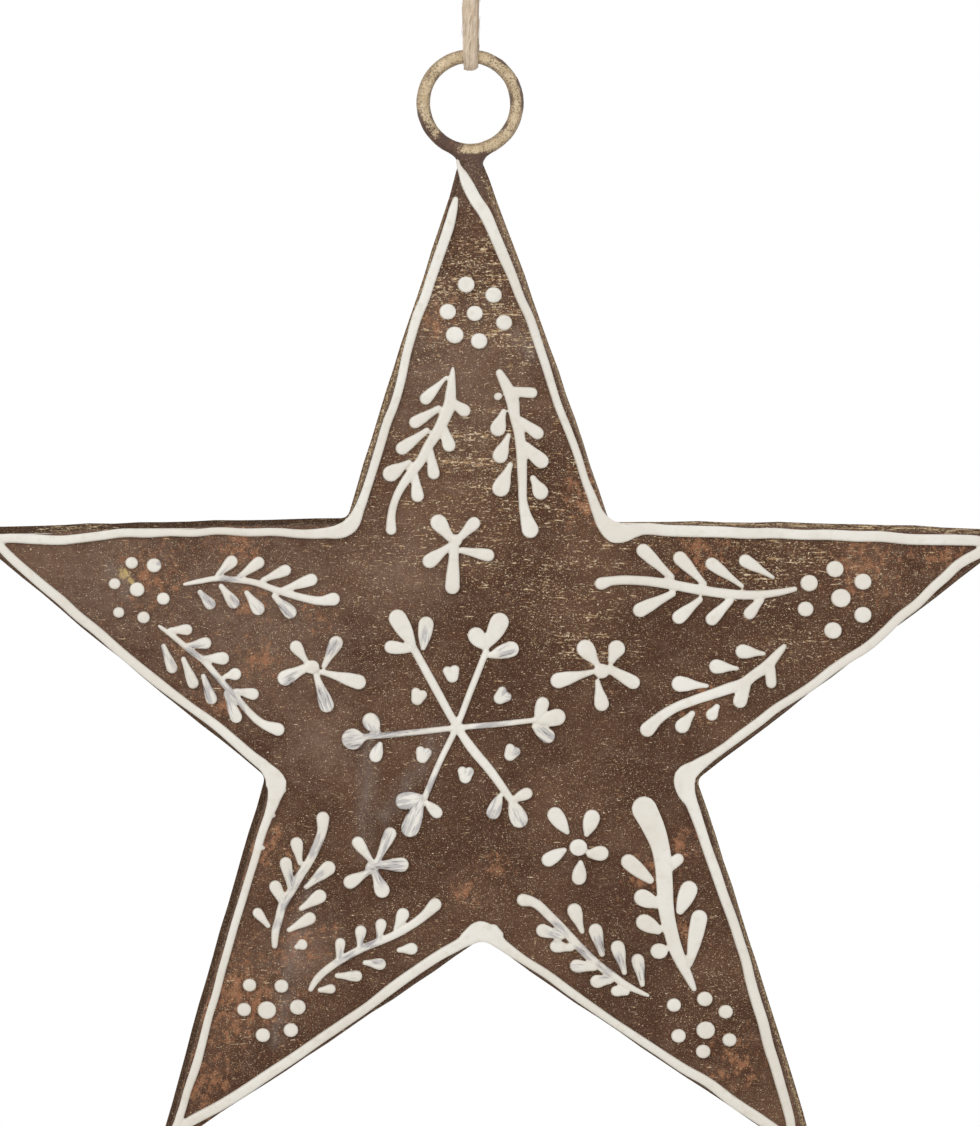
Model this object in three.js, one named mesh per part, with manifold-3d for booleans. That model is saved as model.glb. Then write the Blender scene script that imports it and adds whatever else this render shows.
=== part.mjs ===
// Hollow sheet-iron star ornament with a brazed wire ring, piped enamel relief and a jute cord.
// Millimetres, +Z up. The star's front faces -Y. The origin is the top of the cord's upper eye,
// on its inner side, where a hook or a twig carries the ornament.
import * as THREE from 'three';
import { mergeVertices } from 'three/addons/utils/BufferGeometryUtils.js';
import Module from 'manifold-3d';

const wasm = await Module();
wasm.setup();

// Cord: a flat strand of jute, one loop through the ring and one eye above the knot.
const CORD_WIDTH = 2.4;
const CORD_THICKNESS = 1.2;
const CORD_SIDES = 8;
const CORD_CLEARANCE = 0.3;
const EYE_HEIGHT = 30;
const EYE_WIDTH = 9;
const STRAND_SPACING = 1.9;
const KNOT_RADIUS = 2.7;
const KNOT_TUBE = 1.05;
const KNOT_TURNS = 2;
const KNOT_LOBES = 3;
const KNOT_STEPS = 40;
const KNOT_TO_RING = 18.6;
const EYE_STEPS = 28;
const LOOP_STEPS = 34;
const BEND_ANGLES = [0, 30, 60, 90, 120, 150, 180];
// How far each strand has spread, and how far it has come from the knot, as shares: first in the
// eye, then in the loop.
const EYE_SIDE = [[0, 0], [0.06, 0.1], [0.61, 0.29], [1, 0.52], [0.97, 0.84], [0.42, 0.96]];
const LOOP_SIDE = [[0, 0], [0.14, 0.23], [0.67, 0.66], [1, 0.91]];

// Ring: round wire bent to a circle, brazed to the star's top tip.
const WIRE_DIAMETER = 1.95;
const RING_BORE = 12.15;
const NECK_WIDTH = 3.9;
const NECK_THICKNESS = 2.6;
const NECK_FLARE = 2.45;
const NECK_SADDLE = 1;
const NECK_STEPS = 4;
const RING_STEPS = 36;
const RING_SIDES = 8;
const BRAZE_CLEARANCE = 0.3;
const RING_ABOVE_TIP = 1.2;
const RING_OFFSET_X = -2.1;

// Star: two shallow pans of sheet iron, butted at the seam and soldered. It was cut by hand, so
// each arm has its own reach, as a share of the star's radius, and its own bearing. Bearings are
// degrees clockwise from straight up. The arms run clockwise from the top one, and each notch
// follows its tip.
const STAR_RADIUS = 85;
const ARMS = [
  { tipReach: 1.013, tipBearing: -1.2, notchReach: 0.389, notchBearing: 34.5 },
  { tipReach: 1, tipBearing: 72.1, notchReach: 0.401, notchBearing: 109.6 },
  { tipReach: 1.004, tipBearing: 144.2, notchReach: 0.413, notchBearing: 180.5 },
  { tipReach: 0.976, tipBearing: 215.7, notchReach: 0.408, notchBearing: 251.8 },
  { tipReach: 0.973, tipBearing: 288.4, notchReach: 0.409, notchBearing: 323.8 },
];
const PAN_DEPTH = 5;
const SHEET = 0.6;
const FACE_TIP_INSET = 6.5;
const FACE_NOTCH_INSET = 0.8;
const TIP_ROUNDING = 1.5;
const TOP_TIP_ROUNDING = 3.4;
const FACE_TIP_ROUNDING = 0.5;
const NOTCH_ROUNDING = 1.5;
const CORNER_STEPS = 3;
// Share of the way from the rim to the face, and share of the pan's depth, at each fold line.
const WALL_FOLDS = [[0, 0], [0.6, 0.8], [0.84, 0.96], [1, 1]];

// Enamel: a white line and motifs piped onto the front face. Their widths and places are shares
// of the star's radius, so that the pattern grows with the star.
const RELIEF_HEIGHT = 0.7;
const RELIEF_SHOULDER = 0.45;
const BORDER_WIDTH = 0.0188 * STAR_RADIUS;
const BORDER_TIP_SETBACK = 0.0318 * STAR_RADIUS;
const BORDER_NOTCH_SETBACK = 0.0129 * STAR_RADIUS;
const NOTCH_BLOB_WIDTH = 0.04 * STAR_RADIUS;
const NOTCH_BLOB_SHIFT = 0.0106 * STAR_RADIUS;
const STEM_WIDTH = 0.0153 * STAR_RADIUS;
const STEM_TIP_WIDTH = 0.0094 * STAR_RADIUS;
const STEM_BLOB_WIDTH = 0.0247 * STAR_RADIUS;
const STEM_STEPS = 4;
const LEAVES_PER_SIDE = 4;
const LEAF_LENGTH = 0.0471 * STAR_RADIUS;
const LEAF_WIDTH = 0.0224 * STAR_RADIUS;
const LEAF_TAIL_WIDTH = 0.0082 * STAR_RADIUS;
const LEAF_SPLAY = 38;
const LEAF_ZONE = [0.08, 0.7];
const ARC_STEPS = 3;
// Tip, blob end and sideways bow of each sprig's stem.
const SPRIGS = [
  { name: 'sprig_top_left', tip: [-0.055, 0.593], blob: [-0.165, 0.304], bow: 0.016 },
  { name: 'sprig_top_right', tip: [0.027, 0.582], blob: [0.081, 0.306], bow: 0.016 },
  { name: 'sprig_left_upper', tip: [-0.529, 0.212], blob: [-0.266, 0.186], bow: 0.013 },
  { name: 'sprig_left_lower', tip: [-0.572, 0.136], blob: [-0.361, -0.045], bow: 0 },
  { name: 'sprig_right_upper', tip: [0.551, 0.205], blob: [0.207, 0.212], bow: 0.014 },
  { name: 'sprig_right_lower', tip: [0.531, 0.102], blob: [0.288, -0.044], bow: 0.012 },
  { name: 'sprig_lower_left_upright', tip: [-0.369, -0.427], blob: [-0.285, -0.204], bow: -0.012 },
  { name: 'sprig_lower_left_slanted', tip: [-0.306, -0.504], blob: [-0.088, -0.354], bow: -0.016 },
  { name: 'sprig_lower_right_upright', tip: [0.369, -0.5], blob: [0.285, -0.191], bow: -0.019 },
  { name: 'sprig_lower_right_slanted', tip: [0.293, -0.514], blob: [0.071, -0.346], bow: -0.005 },
];

// Five-petalled flowers: centre and the bearing of the first petal.
const PETAL_REACH = 0.0541 * STAR_RADIUS;
const PETAL_COUNT = 5;
const FLOWERS = [
  { name: 'flower_top', centre: [-0.049, 0.292], firstPetal: 35 },
  { name: 'flower_left', centre: [-0.307, 0.068], firstPetal: 44 },
  { name: 'flower_right', centre: [0.207, 0.058], firstPetal: 37 },
  { name: 'flower_lower_left', centre: [-0.199, -0.292], firstPetal: 26 },
  { name: 'flower_lower_right', centre: [0.166, -0.253], firstPetal: 24 },
];

// Snowflake: reach and bearing of each arm from its crossing, with three petals on each end.
const SNOWFLAKE_CENTRE = [-0.049, -0.044];
const SNOWFLAKE_LINE_WIDTH = 0.0141 * STAR_RADIUS;
const SNOWFLAKE_PETAL_REACH = 0.0494 * STAR_RADIUS;
const SNOWFLAKE_PETAL_SPLAY = 55;
const SNOWFLAKE_ARMS = [
  { reach: 0.161, bearing: -28.4 },
  { reach: 0.146, bearing: 22.2 },
  { reach: 0.141, bearing: 84 },
  { reach: 0.156, bearing: 141.8 },
  { reach: 0.134, bearing: 205.2 },
  { reach: 0.166, bearing: 264 },
];

// Drops: a cluster of seven near each tip, and one between each two snowflake arms. They share
// the front sheet's body because each is too small to be a piece of its own.
const DROP_WIDTH = 0.0247 * STAR_RADIUS;
const DROP_STRETCH = 0.1;
const DROP_SPACING = 0.0482 * STAR_RADIUS;
const DROPS_AROUND = 6;
const DROP_SINK = 0.3;
const SNOWFLAKE_DROP_REACH = 0.0918 * STAR_RADIUS;
const DROP_CLUSTERS = [
  { centre: [-0.016, 0.689], firstDrop: -16 },
  { centre: [0.629, 0.187], firstDrop: -12 },
  { centre: [0.388, -0.564], firstDrop: 0 },
  { centre: [-0.382, -0.54], firstDrop: 30 },
  { centre: [-0.612, 0.202], firstDrop: -14 },
];

const IRON = { color: 0x4a3527, roughness: 0.6, metalness: 0.5 };
const GOLD = { color: 0xa8905f, roughness: 0.45, metalness: 0.8 };
const ENAMEL = { color: 0xe9e5da, roughness: 0.4, metalness: 0 };
const JUTE = { color: 0xb59e80, roughness: 0.95, metalness: 0 };

const WELD_TOLERANCE = 1e-4;

const radians = THREE.MathUtils.degToRad;

function toManifold(geometry) {
  const bare = geometry.clone();
  bare.deleteAttribute('normal');
  bare.deleteAttribute('uv');
  const merged = mergeVertices(bare, WELD_TOLERANCE);
  const mesh = new wasm.Mesh({
    numProp: 3,
    vertProperties: new Float32Array(merged.attributes.position.array),
    triVerts: new Uint32Array(merged.index.array),
  });
  mesh.merge();
  return new wasm.Manifold(mesh);
}

function toGeometry(manifold) {
  const mesh = manifold.getMesh();
  const geometry = new THREE.BufferGeometry();
  geometry.setAttribute('position', new THREE.BufferAttribute(mesh.vertProperties, 3));
  geometry.setIndex(new THREE.BufferAttribute(mesh.triVerts, 1));
  geometry.computeVertexNormals();
  return geometry;
}

function piece(name, geometry, finish) {
  const mesh = new THREE.Mesh(geometry, new THREE.MeshStandardMaterial(finish));
  mesh.name = name;
  return mesh;
}

// Skins a stack of outlines that have the same number of points, counterclockwise from above,
// from the lowest height to the highest, and caps both ends.
function loft(outlines, heights) {
  const count = outlines[0].length;
  const positions = [];
  outlines.forEach((outline, level) => {
    outline.forEach((point) => positions.push(point.x, point.y, heights[level]));
  });
  const triangles = [];
  for (let level = 0; level < outlines.length - 1; level += 1) {
    for (let i = 0; i < count; i += 1) {
      const a = level * count + i;
      const b = level * count + ((i + 1) % count);
      triangles.push(a, b, b + count, a, b + count, a + count);
    }
  }
  const top = (outlines.length - 1) * count;
  THREE.ShapeUtils.triangulateShape(outlines[0], []).forEach(([a, b, c]) => {
    triangles.push(c, b, a);
  });
  THREE.ShapeUtils.triangulateShape(outlines[outlines.length - 1], []).forEach(([a, b, c]) => {
    triangles.push(top + a, top + b, top + c);
  });
  const geometry = new THREE.BufferGeometry();
  geometry.setAttribute('position', new THREE.Float32BufferAttribute(positions, 3));
  geometry.setIndex(triangles);
  return geometry;
}

function atBearing(reach, bearing) {
  return new THREE.Vector2(
    reach * Math.sin(radians(bearing)),
    reach * Math.cos(radians(bearing)),
  );
}

// A place given as shares of the star's radius.
function onStar([x, y]) {
  return new THREE.Vector2(x, y).multiplyScalar(STAR_RADIUS);
}

// The star's corners, counterclockwise: tips and notches drawn in along their own bearings.
function starCorners(tipInset, notchInset) {
  const corners = ARMS.flatMap((arm) => [
    atBearing(arm.tipReach * STAR_RADIUS - tipInset, arm.tipBearing),
    atBearing(arm.notchReach * STAR_RADIUS - notchInset, arm.notchBearing),
  ]);
  return corners.reverse();
}

// Moves every side of a counterclockwise polygon inwards by a distance. A negative one grows it.
function inset(corners, distance) {
  return corners.map((corner, i) => {
    const before = corners[(i + corners.length - 1) % corners.length];
    const after = corners[(i + 1) % corners.length];
    const arrive = corner.clone().sub(before).normalize();
    const leave = after.clone().sub(corner).normalize();
    const inward = new THREE.Vector2(-arrive.y - leave.y, arrive.x + leave.x).normalize();
    const reach = distance / inward.dot(new THREE.Vector2(-arrive.y, arrive.x));
    return corner.clone().addScaledVector(inward, reach);
  });
}

// Rounds the corners: notches are the even corners, tips the odd ones and the top tip the last.
function rounded(corners, tipRounding, topRounding) {
  const points = [];
  corners.forEach((corner, i) => {
    const toBefore = corners[(i + corners.length - 1) % corners.length].clone().sub(corner);
    const toAfter = corners[(i + 1) % corners.length].clone().sub(corner);
    const halfAngle = toBefore.angleTo(toAfter) / 2;
    let radius = i % 2 === 0 ? NOTCH_ROUNDING : tipRounding;
    if (i === corners.length - 1) radius = topRounding;
    const trim = radius / Math.tan(halfAngle);
    const start = corner.clone().addScaledVector(toBefore.normalize(), trim);
    const end = corner.clone().addScaledVector(toAfter.normalize(), trim);
    points.push(...new THREE.QuadraticBezierCurve(start, corner, end).getPoints(CORNER_STEPS));
  });
  return points;
}

// One pan as a solid block, from the seam to its face, grown outwards by an amount.
function panBlock(growth, seamHeight, faceHeight) {
  const rim = starCorners(0, 0);
  const face = starCorners(FACE_TIP_INSET, FACE_NOTCH_INSET);
  const outlines = WALL_FOLDS.map(([across]) => {
    const corners = rim.map((corner, i) => corner.clone().lerp(face[i], across));
    const tipRounding = THREE.MathUtils.lerp(TIP_ROUNDING, FACE_TIP_ROUNDING, across);
    const topRounding = THREE.MathUtils.lerp(TOP_TIP_ROUNDING, FACE_TIP_ROUNDING, across);
    return rounded(inset(corners, -growth), tipRounding, topRounding);
  });
  const heights = WALL_FOLDS.map(([, up]) => seamHeight + up * (faceHeight - seamHeight));
  return toManifold(loft(outlines, heights));
}

// Height of the rounded top tip, where the neck sits, and of the ring's centre above it.
function starCrest() {
  const rim = rounded(starCorners(0, 0), TIP_ROUNDING, TOP_TIP_ROUNDING);
  return Math.max(...rim.map((point) => point.y));
}

function ringCentre() {
  const outerRadius = RING_BORE / 2 + WIRE_DIAMETER;
  return new THREE.Vector2(RING_OFFSET_X, starCrest() + RING_ABOVE_TIP + outerRadius);
}

function pan() {
  const outside = panBlock(0, 0, PAN_DEPTH);
  const inside = panBlock(-SHEET, -SHEET, PAN_DEPTH - SHEET);
  return outside.subtract(inside);
}

// Outline of a piped stroke: round ends of two radii joined by straight sides.
function strokeOutline(a, b, radiusA, radiusB) {
  const heading = Math.atan2(b.y - a.y, b.x - a.x);
  const points = [];
  const addArc = (centre, radius, from) => {
    for (let i = 0; i <= ARC_STEPS; i += 1) {
      const angle = from + (i * Math.PI) / ARC_STEPS;
      points.push(new THREE.Vector2(
        centre.x + radius * Math.cos(angle),
        centre.y + radius * Math.sin(angle),
      ));
    }
  };
  addArc(b, radiusB, heading - Math.PI / 2);
  addArc(a, radiusA, heading + Math.PI / 2);
  return points;
}

// A stroke of enamel on the front face: upright at the foot, drawn in to a flat crown.
function stroke(a, b, widthA, widthB, sink = 0) {
  const foot = strokeOutline(a, b, widthA / 2, widthB / 2);
  const crown = strokeOutline(
    a,
    b,
    (widthA / 2) * (1 - RELIEF_SHOULDER),
    (widthB / 2) * (1 - RELIEF_SHOULDER),
  );
  return toManifold(loft([foot, crown], [PAN_DEPTH - sink, PAN_DEPTH + RELIEF_HEIGHT]));
}

function drop(centre, width, sink = 0) {
  const nudge = new THREE.Vector2((width * DROP_STRETCH) / 2, 0);
  return stroke(centre.clone().sub(nudge), centre.clone().add(nudge), width, width, sink);
}

function union(solids) {
  return solids.reduce((whole, next) => whole.add(next));
}

// The line along the edge of the face, closed round the whole star, with a blob in each notch.
function borderLine() {
  const corners = starCorners(
    FACE_TIP_INSET + BORDER_TIP_SETBACK,
    FACE_NOTCH_INSET + BORDER_NOTCH_SETBACK,
  );
  const strokes = corners.map((corner, i) => {
    return stroke(corner, corners[(i + 1) % corners.length], BORDER_WIDTH, BORDER_WIDTH);
  });
  const notches = corners.filter((corner, i) => i % 2 === 0);
  const blobs = notches.map((notch) => {
    return drop(notch.clone().setLength(notch.length() - NOTCH_BLOB_SHIFT), NOTCH_BLOB_WIDTH);
  });
  return union([...strokes, ...blobs]);
}

function leaf(from, bearing, reach) {
  return stroke(from, from.clone().add(atBearing(reach, bearing)), LEAF_TAIL_WIDTH, LEAF_WIDTH);
}

// A stem that swells to a blob, with leaves that splay forward from both of its sides.
function sprig({ tip, blob, bow }) {
  const start = onStar(tip);
  const end = onStar(blob);
  const along = end.clone().sub(start);
  const across = new THREE.Vector2(along.y, -along.x).normalize();
  const middle = start.clone().lerp(end, 0.5).addScaledVector(across, 2 * bow * STAR_RADIUS);
  const spine = new THREE.QuadraticBezierCurve(start, middle, end);
  const points = spine.getPoints(STEM_STEPS);
  const widths = points.map((point, i) => {
    if (i === 0) return STEM_TIP_WIDTH;
    return i === STEM_STEPS ? STEM_BLOB_WIDTH : STEM_WIDTH;
  });
  const stem = points.slice(1).map((point, i) => {
    return stroke(points[i], point, widths[i], widths[i + 1]);
  });
  const leaves = [];
  for (let i = 0; i < LEAVES_PER_SIDE; i += 1) {
    const share = THREE.MathUtils.lerp(...LEAF_ZONE, i / (LEAVES_PER_SIDE - 1));
    const foot = spine.getPoint(share);
    const heading = spine.getTangent(share);
    const bearing = THREE.MathUtils.radToDeg(Math.atan2(heading.x, heading.y));
    leaves.push(leaf(foot, bearing - LEAF_SPLAY, LEAF_LENGTH));
    leaves.push(leaf(foot, bearing + LEAF_SPLAY, LEAF_LENGTH));
  }
  return union([...stem, ...leaves]);
}

function flower({ centre, firstPetal }) {
  const middle = onStar(centre);
  const petals = Array.from({ length: PETAL_COUNT }, (_, i) => {
    return leaf(middle, firstPetal + (i * 360) / PETAL_COUNT, PETAL_REACH);
  });
  return union([drop(middle, LEAF_WIDTH), ...petals]);
}

function snowflake() {
  const centre = onStar(SNOWFLAKE_CENTRE);
  const strokes = SNOWFLAKE_ARMS.flatMap(({ reach, bearing }) => {
    const end = centre.clone().add(atBearing(reach * STAR_RADIUS, bearing));
    const turns = [-SNOWFLAKE_PETAL_SPLAY, 0, SNOWFLAKE_PETAL_SPLAY];
    const petals = turns.map((turn) => leaf(end, bearing + turn, SNOWFLAKE_PETAL_REACH));
    return [stroke(centre, end, SNOWFLAKE_LINE_WIDTH, SNOWFLAKE_LINE_WIDTH), ...petals];
  });
  return union(strokes);
}

function drops() {
  const places = DROP_CLUSTERS.flatMap(({ centre, firstDrop }) => {
    const middle = onStar(centre);
    const around = Array.from({ length: DROPS_AROUND }, (_, i) => {
      const bearing = firstDrop + (i * 360) / DROPS_AROUND;
      return middle.clone().add(atBearing(DROP_SPACING, bearing));
    });
    return [middle, ...around];
  });
  SNOWFLAKE_ARMS.forEach(({ bearing }, i) => {
    const next = SNOWFLAKE_ARMS[(i + 1) % SNOWFLAKE_ARMS.length].bearing;
    const between = bearing + THREE.MathUtils.euclideanModulo(next - bearing, 360) / 2;
    places.push(onStar(SNOWFLAKE_CENTRE).add(atBearing(SNOWFLAKE_DROP_REACH, between)));
  });
  return places.map((place) => drop(place, DROP_WIDTH, DROP_SINK));
}

// The ring and its neck: a torus of wire, flared with brazing metal down to the star's top tip.
function hangingRing() {
  const centre = ringCentre();
  const ringRadius = (RING_BORE + WIRE_DIAMETER) / 2;
  const outerRadius = ringRadius + WIRE_DIAMETER / 2;
  const wire = new THREE.TorusGeometry(ringRadius, WIRE_DIAMETER / 2, RING_SIDES, RING_STEPS);
  wire.translate(centre.x, centre.y, 0);
  const half = NECK_WIDTH / 2;
  const flareX = half + NECK_FLARE;
  const flareY = centre.y - Math.sqrt(outerRadius ** 2 - flareX ** 2);
  const crest = starCrest();
  const waist = (crest + centre.y - outerRadius) / 2;
  const foot = crest - NECK_SADDLE;
  const outline = new THREE.Shape();
  outline.moveTo(-half, foot);
  outline.lineTo(half, foot);
  outline.lineTo(half, waist);
  outline.quadraticCurveTo(half, (waist + flareY) / 2, flareX, flareY);
  outline.lineTo(-flareX, flareY);
  outline.quadraticCurveTo(-half, (waist + flareY) / 2, -half, waist);
  outline.closePath();
  const neck = new THREE.ExtrudeGeometry(outline, {
    depth: NECK_THICKNESS,
    bevelEnabled: false,
    curveSegments: NECK_STEPS,
  });
  neck.translate(centre.x, 0, -NECK_THICKNESS / 2);
  const grown = panBlock(BRAZE_CLEARANCE, 0, PAN_DEPTH + BRAZE_CLEARANCE);
  return toManifold(wire)
    .add(toManifold(neck))
    .subtract(grown)
    .subtract(grown.mirror([0, 0, 1]));
}

// A flat jute strand of CORD_SIDES sides along a smooth curve through the points. Its width lies
// across the plane of the curve.
function cord(points, steps) {
  const angles = Array.from({ length: CORD_SIDES }, (_, i) => (i * 2 * Math.PI) / CORD_SIDES);
  const section = new THREE.Shape(angles.map((angle) => new THREE.Vector2(
    (CORD_WIDTH / 2) * Math.cos(angle),
    (CORD_THICKNESS / 2) * Math.sin(angle),
  )));
  const route = new THREE.CatmullRomCurve3(points.map((point) => new THREE.Vector3(...point)));
  return new THREE.ExtrudeGeometry(section, { steps, extrudePath: route, bevelEnabled: false });
}

const eyeTop = CORD_THICKNESS / 2;
// A torus knot's centreline reaches half as far again as its radius.
const knotReach = 1.5 * KNOT_RADIUS + KNOT_TUBE;
const knotHeight = -(EYE_HEIGHT + knotReach);

// Sideways place and height of one strand along its way from the knot.
function strandSide(shares, width, foot, far) {
  return shares.map(([spread, along]) => [
    THREE.MathUtils.lerp(STRAND_SPACING / 2, width, spread),
    THREE.MathUtils.lerp(foot, far, along),
  ]);
}

// The eye above the knot, in the plane of the star.
function eyeRoute() {
  const foot = knotHeight + knotReach + CORD_CLEARANCE;
  const side = strandSide(EYE_SIDE, EYE_WIDTH / 2, foot, eyeTop);
  const left = side.map(([x, z]) => [-x, 0, z]);
  const right = side.map(([x, z]) => [x, 0, z]).reverse();
  return [...left, [0, 0, eyeTop], ...right];
}

// The loop below the knot: down in front of the wire, under it, and up behind.
function loopRoute(wireHeight) {
  const foot = knotHeight - knotReach - CORD_CLEARANCE;
  const bend = (WIRE_DIAMETER + CORD_THICKNESS) / 2 + CORD_CLEARANCE;
  const side = strandSide(LOOP_SIDE, bend, foot, wireHeight);
  const front = side.map(([y, z]) => [0, -y, z]);
  const back = side.map(([y, z]) => [0, y, z]).reverse();
  const under = BEND_ANGLES.map((angle) => [
    0,
    -bend * Math.cos(radians(angle)),
    wireHeight - bend * Math.sin(radians(angle)),
  ]);
  return [...front, ...under, ...back];
}

function knot() {
  const trefoil = new THREE.TorusKnotGeometry(
    KNOT_RADIUS,
    KNOT_TUBE,
    KNOT_STEPS,
    CORD_SIDES,
    KNOT_TURNS,
    KNOT_LOBES,
  );
  trefoil.rotateX(Math.PI / 2);
  trefoil.translate(0, 0, knotHeight);
  return trefoil;
}

// Star geometry is modelled with its front towards +Z, then turned to face -Y.
function facingFront(manifold) {
  return toGeometry(manifold).rotateX(Math.PI / 2);
}

const frontPan = pan();
const backPan = frontPan.mirror([0, 0, 1]);
const star = new THREE.Group();
star.add(
  piece('front_shell', facingFront(union([frontPan, ...drops()])), IRON),
  piece('back_shell', facingFront(backPan), IRON),
  piece('hanging_ring', facingFront(hangingRing()), GOLD),
  piece('border_line', facingFront(borderLine()), ENAMEL),
  piece('snowflake', facingFront(snowflake()), ENAMEL),
  ...FLOWERS.map((one) => piece(one.name, facingFront(flower(one)), ENAMEL)),
  ...SPRIGS.map((one) => piece(one.name, facingFront(sprig(one)), ENAMEL)),
);
const wireHeight = knotHeight - KNOT_TO_RING;
const wireAboveStar = ringCentre().y + (RING_BORE + WIRE_DIAMETER) / 2;
star.position.set(-RING_OFFSET_X, 0, wireHeight - wireAboveStar);

const ornament = new THREE.Group();
ornament.add(
  piece('hanging_eye', cord(eyeRoute(), EYE_STEPS), JUTE),
  piece('cord_knot', knot(), JUTE),
  piece('hanging_cord', cord(loopRoute(wireHeight), LOOP_STEPS), JUTE),
  star,
);

export default ornament;
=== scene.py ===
# A folk star of sheet iron with piped white enamel, its wire ring and its jute cord.
# Named sizes are in millimetres, and in metres where they hold MM, as the meshes are. +Z is up,
# and the star's front faces -Y.
import math
import random

import bpy
import numpy as np
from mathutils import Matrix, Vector, noise


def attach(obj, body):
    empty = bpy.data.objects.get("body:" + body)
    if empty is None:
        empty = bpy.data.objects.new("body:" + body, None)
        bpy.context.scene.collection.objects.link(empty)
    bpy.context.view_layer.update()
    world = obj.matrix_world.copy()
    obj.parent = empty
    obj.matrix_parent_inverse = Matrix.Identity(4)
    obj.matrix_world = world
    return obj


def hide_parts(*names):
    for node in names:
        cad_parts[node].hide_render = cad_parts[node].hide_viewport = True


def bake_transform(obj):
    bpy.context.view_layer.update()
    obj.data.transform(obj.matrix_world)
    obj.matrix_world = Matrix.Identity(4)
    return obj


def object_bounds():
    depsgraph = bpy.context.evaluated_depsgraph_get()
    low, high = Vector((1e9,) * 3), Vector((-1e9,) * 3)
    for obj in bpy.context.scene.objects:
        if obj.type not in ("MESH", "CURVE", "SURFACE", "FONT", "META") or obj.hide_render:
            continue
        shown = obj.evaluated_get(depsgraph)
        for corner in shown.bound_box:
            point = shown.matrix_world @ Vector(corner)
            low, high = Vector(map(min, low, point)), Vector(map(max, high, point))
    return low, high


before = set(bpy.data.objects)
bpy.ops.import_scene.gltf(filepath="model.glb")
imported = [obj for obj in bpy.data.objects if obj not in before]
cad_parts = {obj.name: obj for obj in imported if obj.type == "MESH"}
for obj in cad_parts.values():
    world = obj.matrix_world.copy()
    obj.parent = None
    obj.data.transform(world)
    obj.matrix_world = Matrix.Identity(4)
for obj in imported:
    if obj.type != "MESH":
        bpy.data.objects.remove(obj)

MM = 0.001
cad_box = [list(corner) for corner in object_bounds()]


# View
# The star is seen almost square on, from a little to its left and a little above. Places on the
# star are given in pixels of a frame of 980 by 1126, x to the right and y down.
VIEW_YAW = math.radians(-6)
VIEW_RISE = math.radians(2)
VIEW_DISTANCE = 1200 * MM
VIEW_TARGET = Vector((3.0, 0, -129.6)) * MM
FRAME_WIDTH = 980
FRAME_HEIGHT = 1126
PIXEL = 0.15 * MM
SENSOR = 24

view_back = Vector((
    math.sin(VIEW_YAW) * math.cos(VIEW_RISE),
    -math.cos(VIEW_YAW) * math.cos(VIEW_RISE),
    math.sin(VIEW_RISE),
))
view_from = VIEW_TARGET + view_back * VIEW_DISTANCE
view_turn = view_back.to_track_quat("Z", "Y")
view_right = view_turn @ Vector((1, 0, 0))
view_up = view_turn @ Vector((0, 1, 0))
bpy.ops.object.camera_add(location=view_from, rotation=view_turn.to_euler())
camera = bpy.context.object
camera.name = "view"
camera.data.sensor_fit = "VERTICAL"
camera.data.sensor_height = SENSOR
camera.data.lens = SENSOR * VIEW_DISTANCE / (FRAME_HEIGHT * PIXEL)
camera.data.clip_start = 10 * MM
bpy.context.scene.camera = camera


def seen_at(x, y, depth):
    """The point at y = depth, in metres, that lies under a pixel of the frame."""
    across = (x - FRAME_WIDTH / 2) * PIXEL
    above = (FRAME_HEIGHT / 2 - y) * PIXEL
    ray = view_right * across + view_up * above - view_back * VIEW_DISTANCE
    return view_from + ray * ((depth - view_from.y) / ray.y)


# Jute cord
# A loosely spun strand of jute. One loop of it goes down in front of the ring's wire, under it
# and up behind, an overhand knot gathers the two sides, and an eye above it takes the hook.
CORD_WIDTH = 2.3
CORD_THICKNESS = 1.15
CORD_RIBS = 44
CORD_RIB_DEPTH = 0.12
CORD_TURN_EVERY = 48
CORD_STEP = 0.35
# Shares of its radius by which the strand swells, and the waves per millimetre: long ones that
# differ from strand to strand, and short ones drawn out along it.
LONG_SWELL = 0.1
LONG_WAVES = 0.45
SHORT_SWELL = 0.05
SHORT_WAVES = Vector((3, 3, 0.5))
MERGE_WITHIN = 0.001
FIBRE_RADIUS = 0.035
FIBRE_TIP = 0.014
FIBRE_LENGTHS = (1.6, 4.2)
FIBRES_PER_MM = 3.2
# Loose fibres keep off the strand's ends, by shares of its length, lean off it by some radians,
# and lie close to its skin.
FIBRE_SPAN = (0.04, 0.96)
FIBRE_LEANS = (0.02, 0.17)
FIBRE_BED = 0.99
ROUTE_RESOLUTION = 16
KNOT_HEIGHT = -35.1
RING_TOP = -53.7
# The strands leave the knot this far from its middle, and run on into it.
KNOT_MOUTH = 5.4
INTO_KNOT = 3
KNOT_BOTTOM = KNOT_HEIGHT - KNOT_MOUTH
KNOT_TOP = KNOT_HEIGHT + KNOT_MOUTH
LOOP_BEND = 1.6
# The front strand hangs a little to the left of the ring's middle, the back one to the right.
FRONT_SHIFT = -0.12
BACK_SHIFT = 0.4
# Each strand's distance from the upright line through the knot, and its height.
loop_side = [(0.95, KNOT_BOTTOM + INTO_KNOT), (0.95, KNOT_BOTTOM), (1.0, -43.5), (1.3, -49.2),
             (1.52, -52.2)]
eye_side = [(0.95, KNOT_TOP - INTO_KNOT), (0.95, KNOT_TOP), (1.15, -26.7), (3.1, -20.7),
            (4.5, -13.7), (4.4, -3.9), (2.6, -0.6)]
EYE_CREST = 0.6
jute_pale = (233, 215, 192)
jute_mid = (215, 193, 168)
jute_gap_shade = (158, 134, 110)


def paint(rgb):
    """An sRGB colour, 0 to 255, as the colour that a shader socket takes."""
    linear = []
    for value in rgb:
        share = value / 255
        linear.append(share / 12.92 if share <= 0.04045 else ((share + 0.055) / 1.055) ** 2.4)
    return (*linear, 1)


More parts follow.
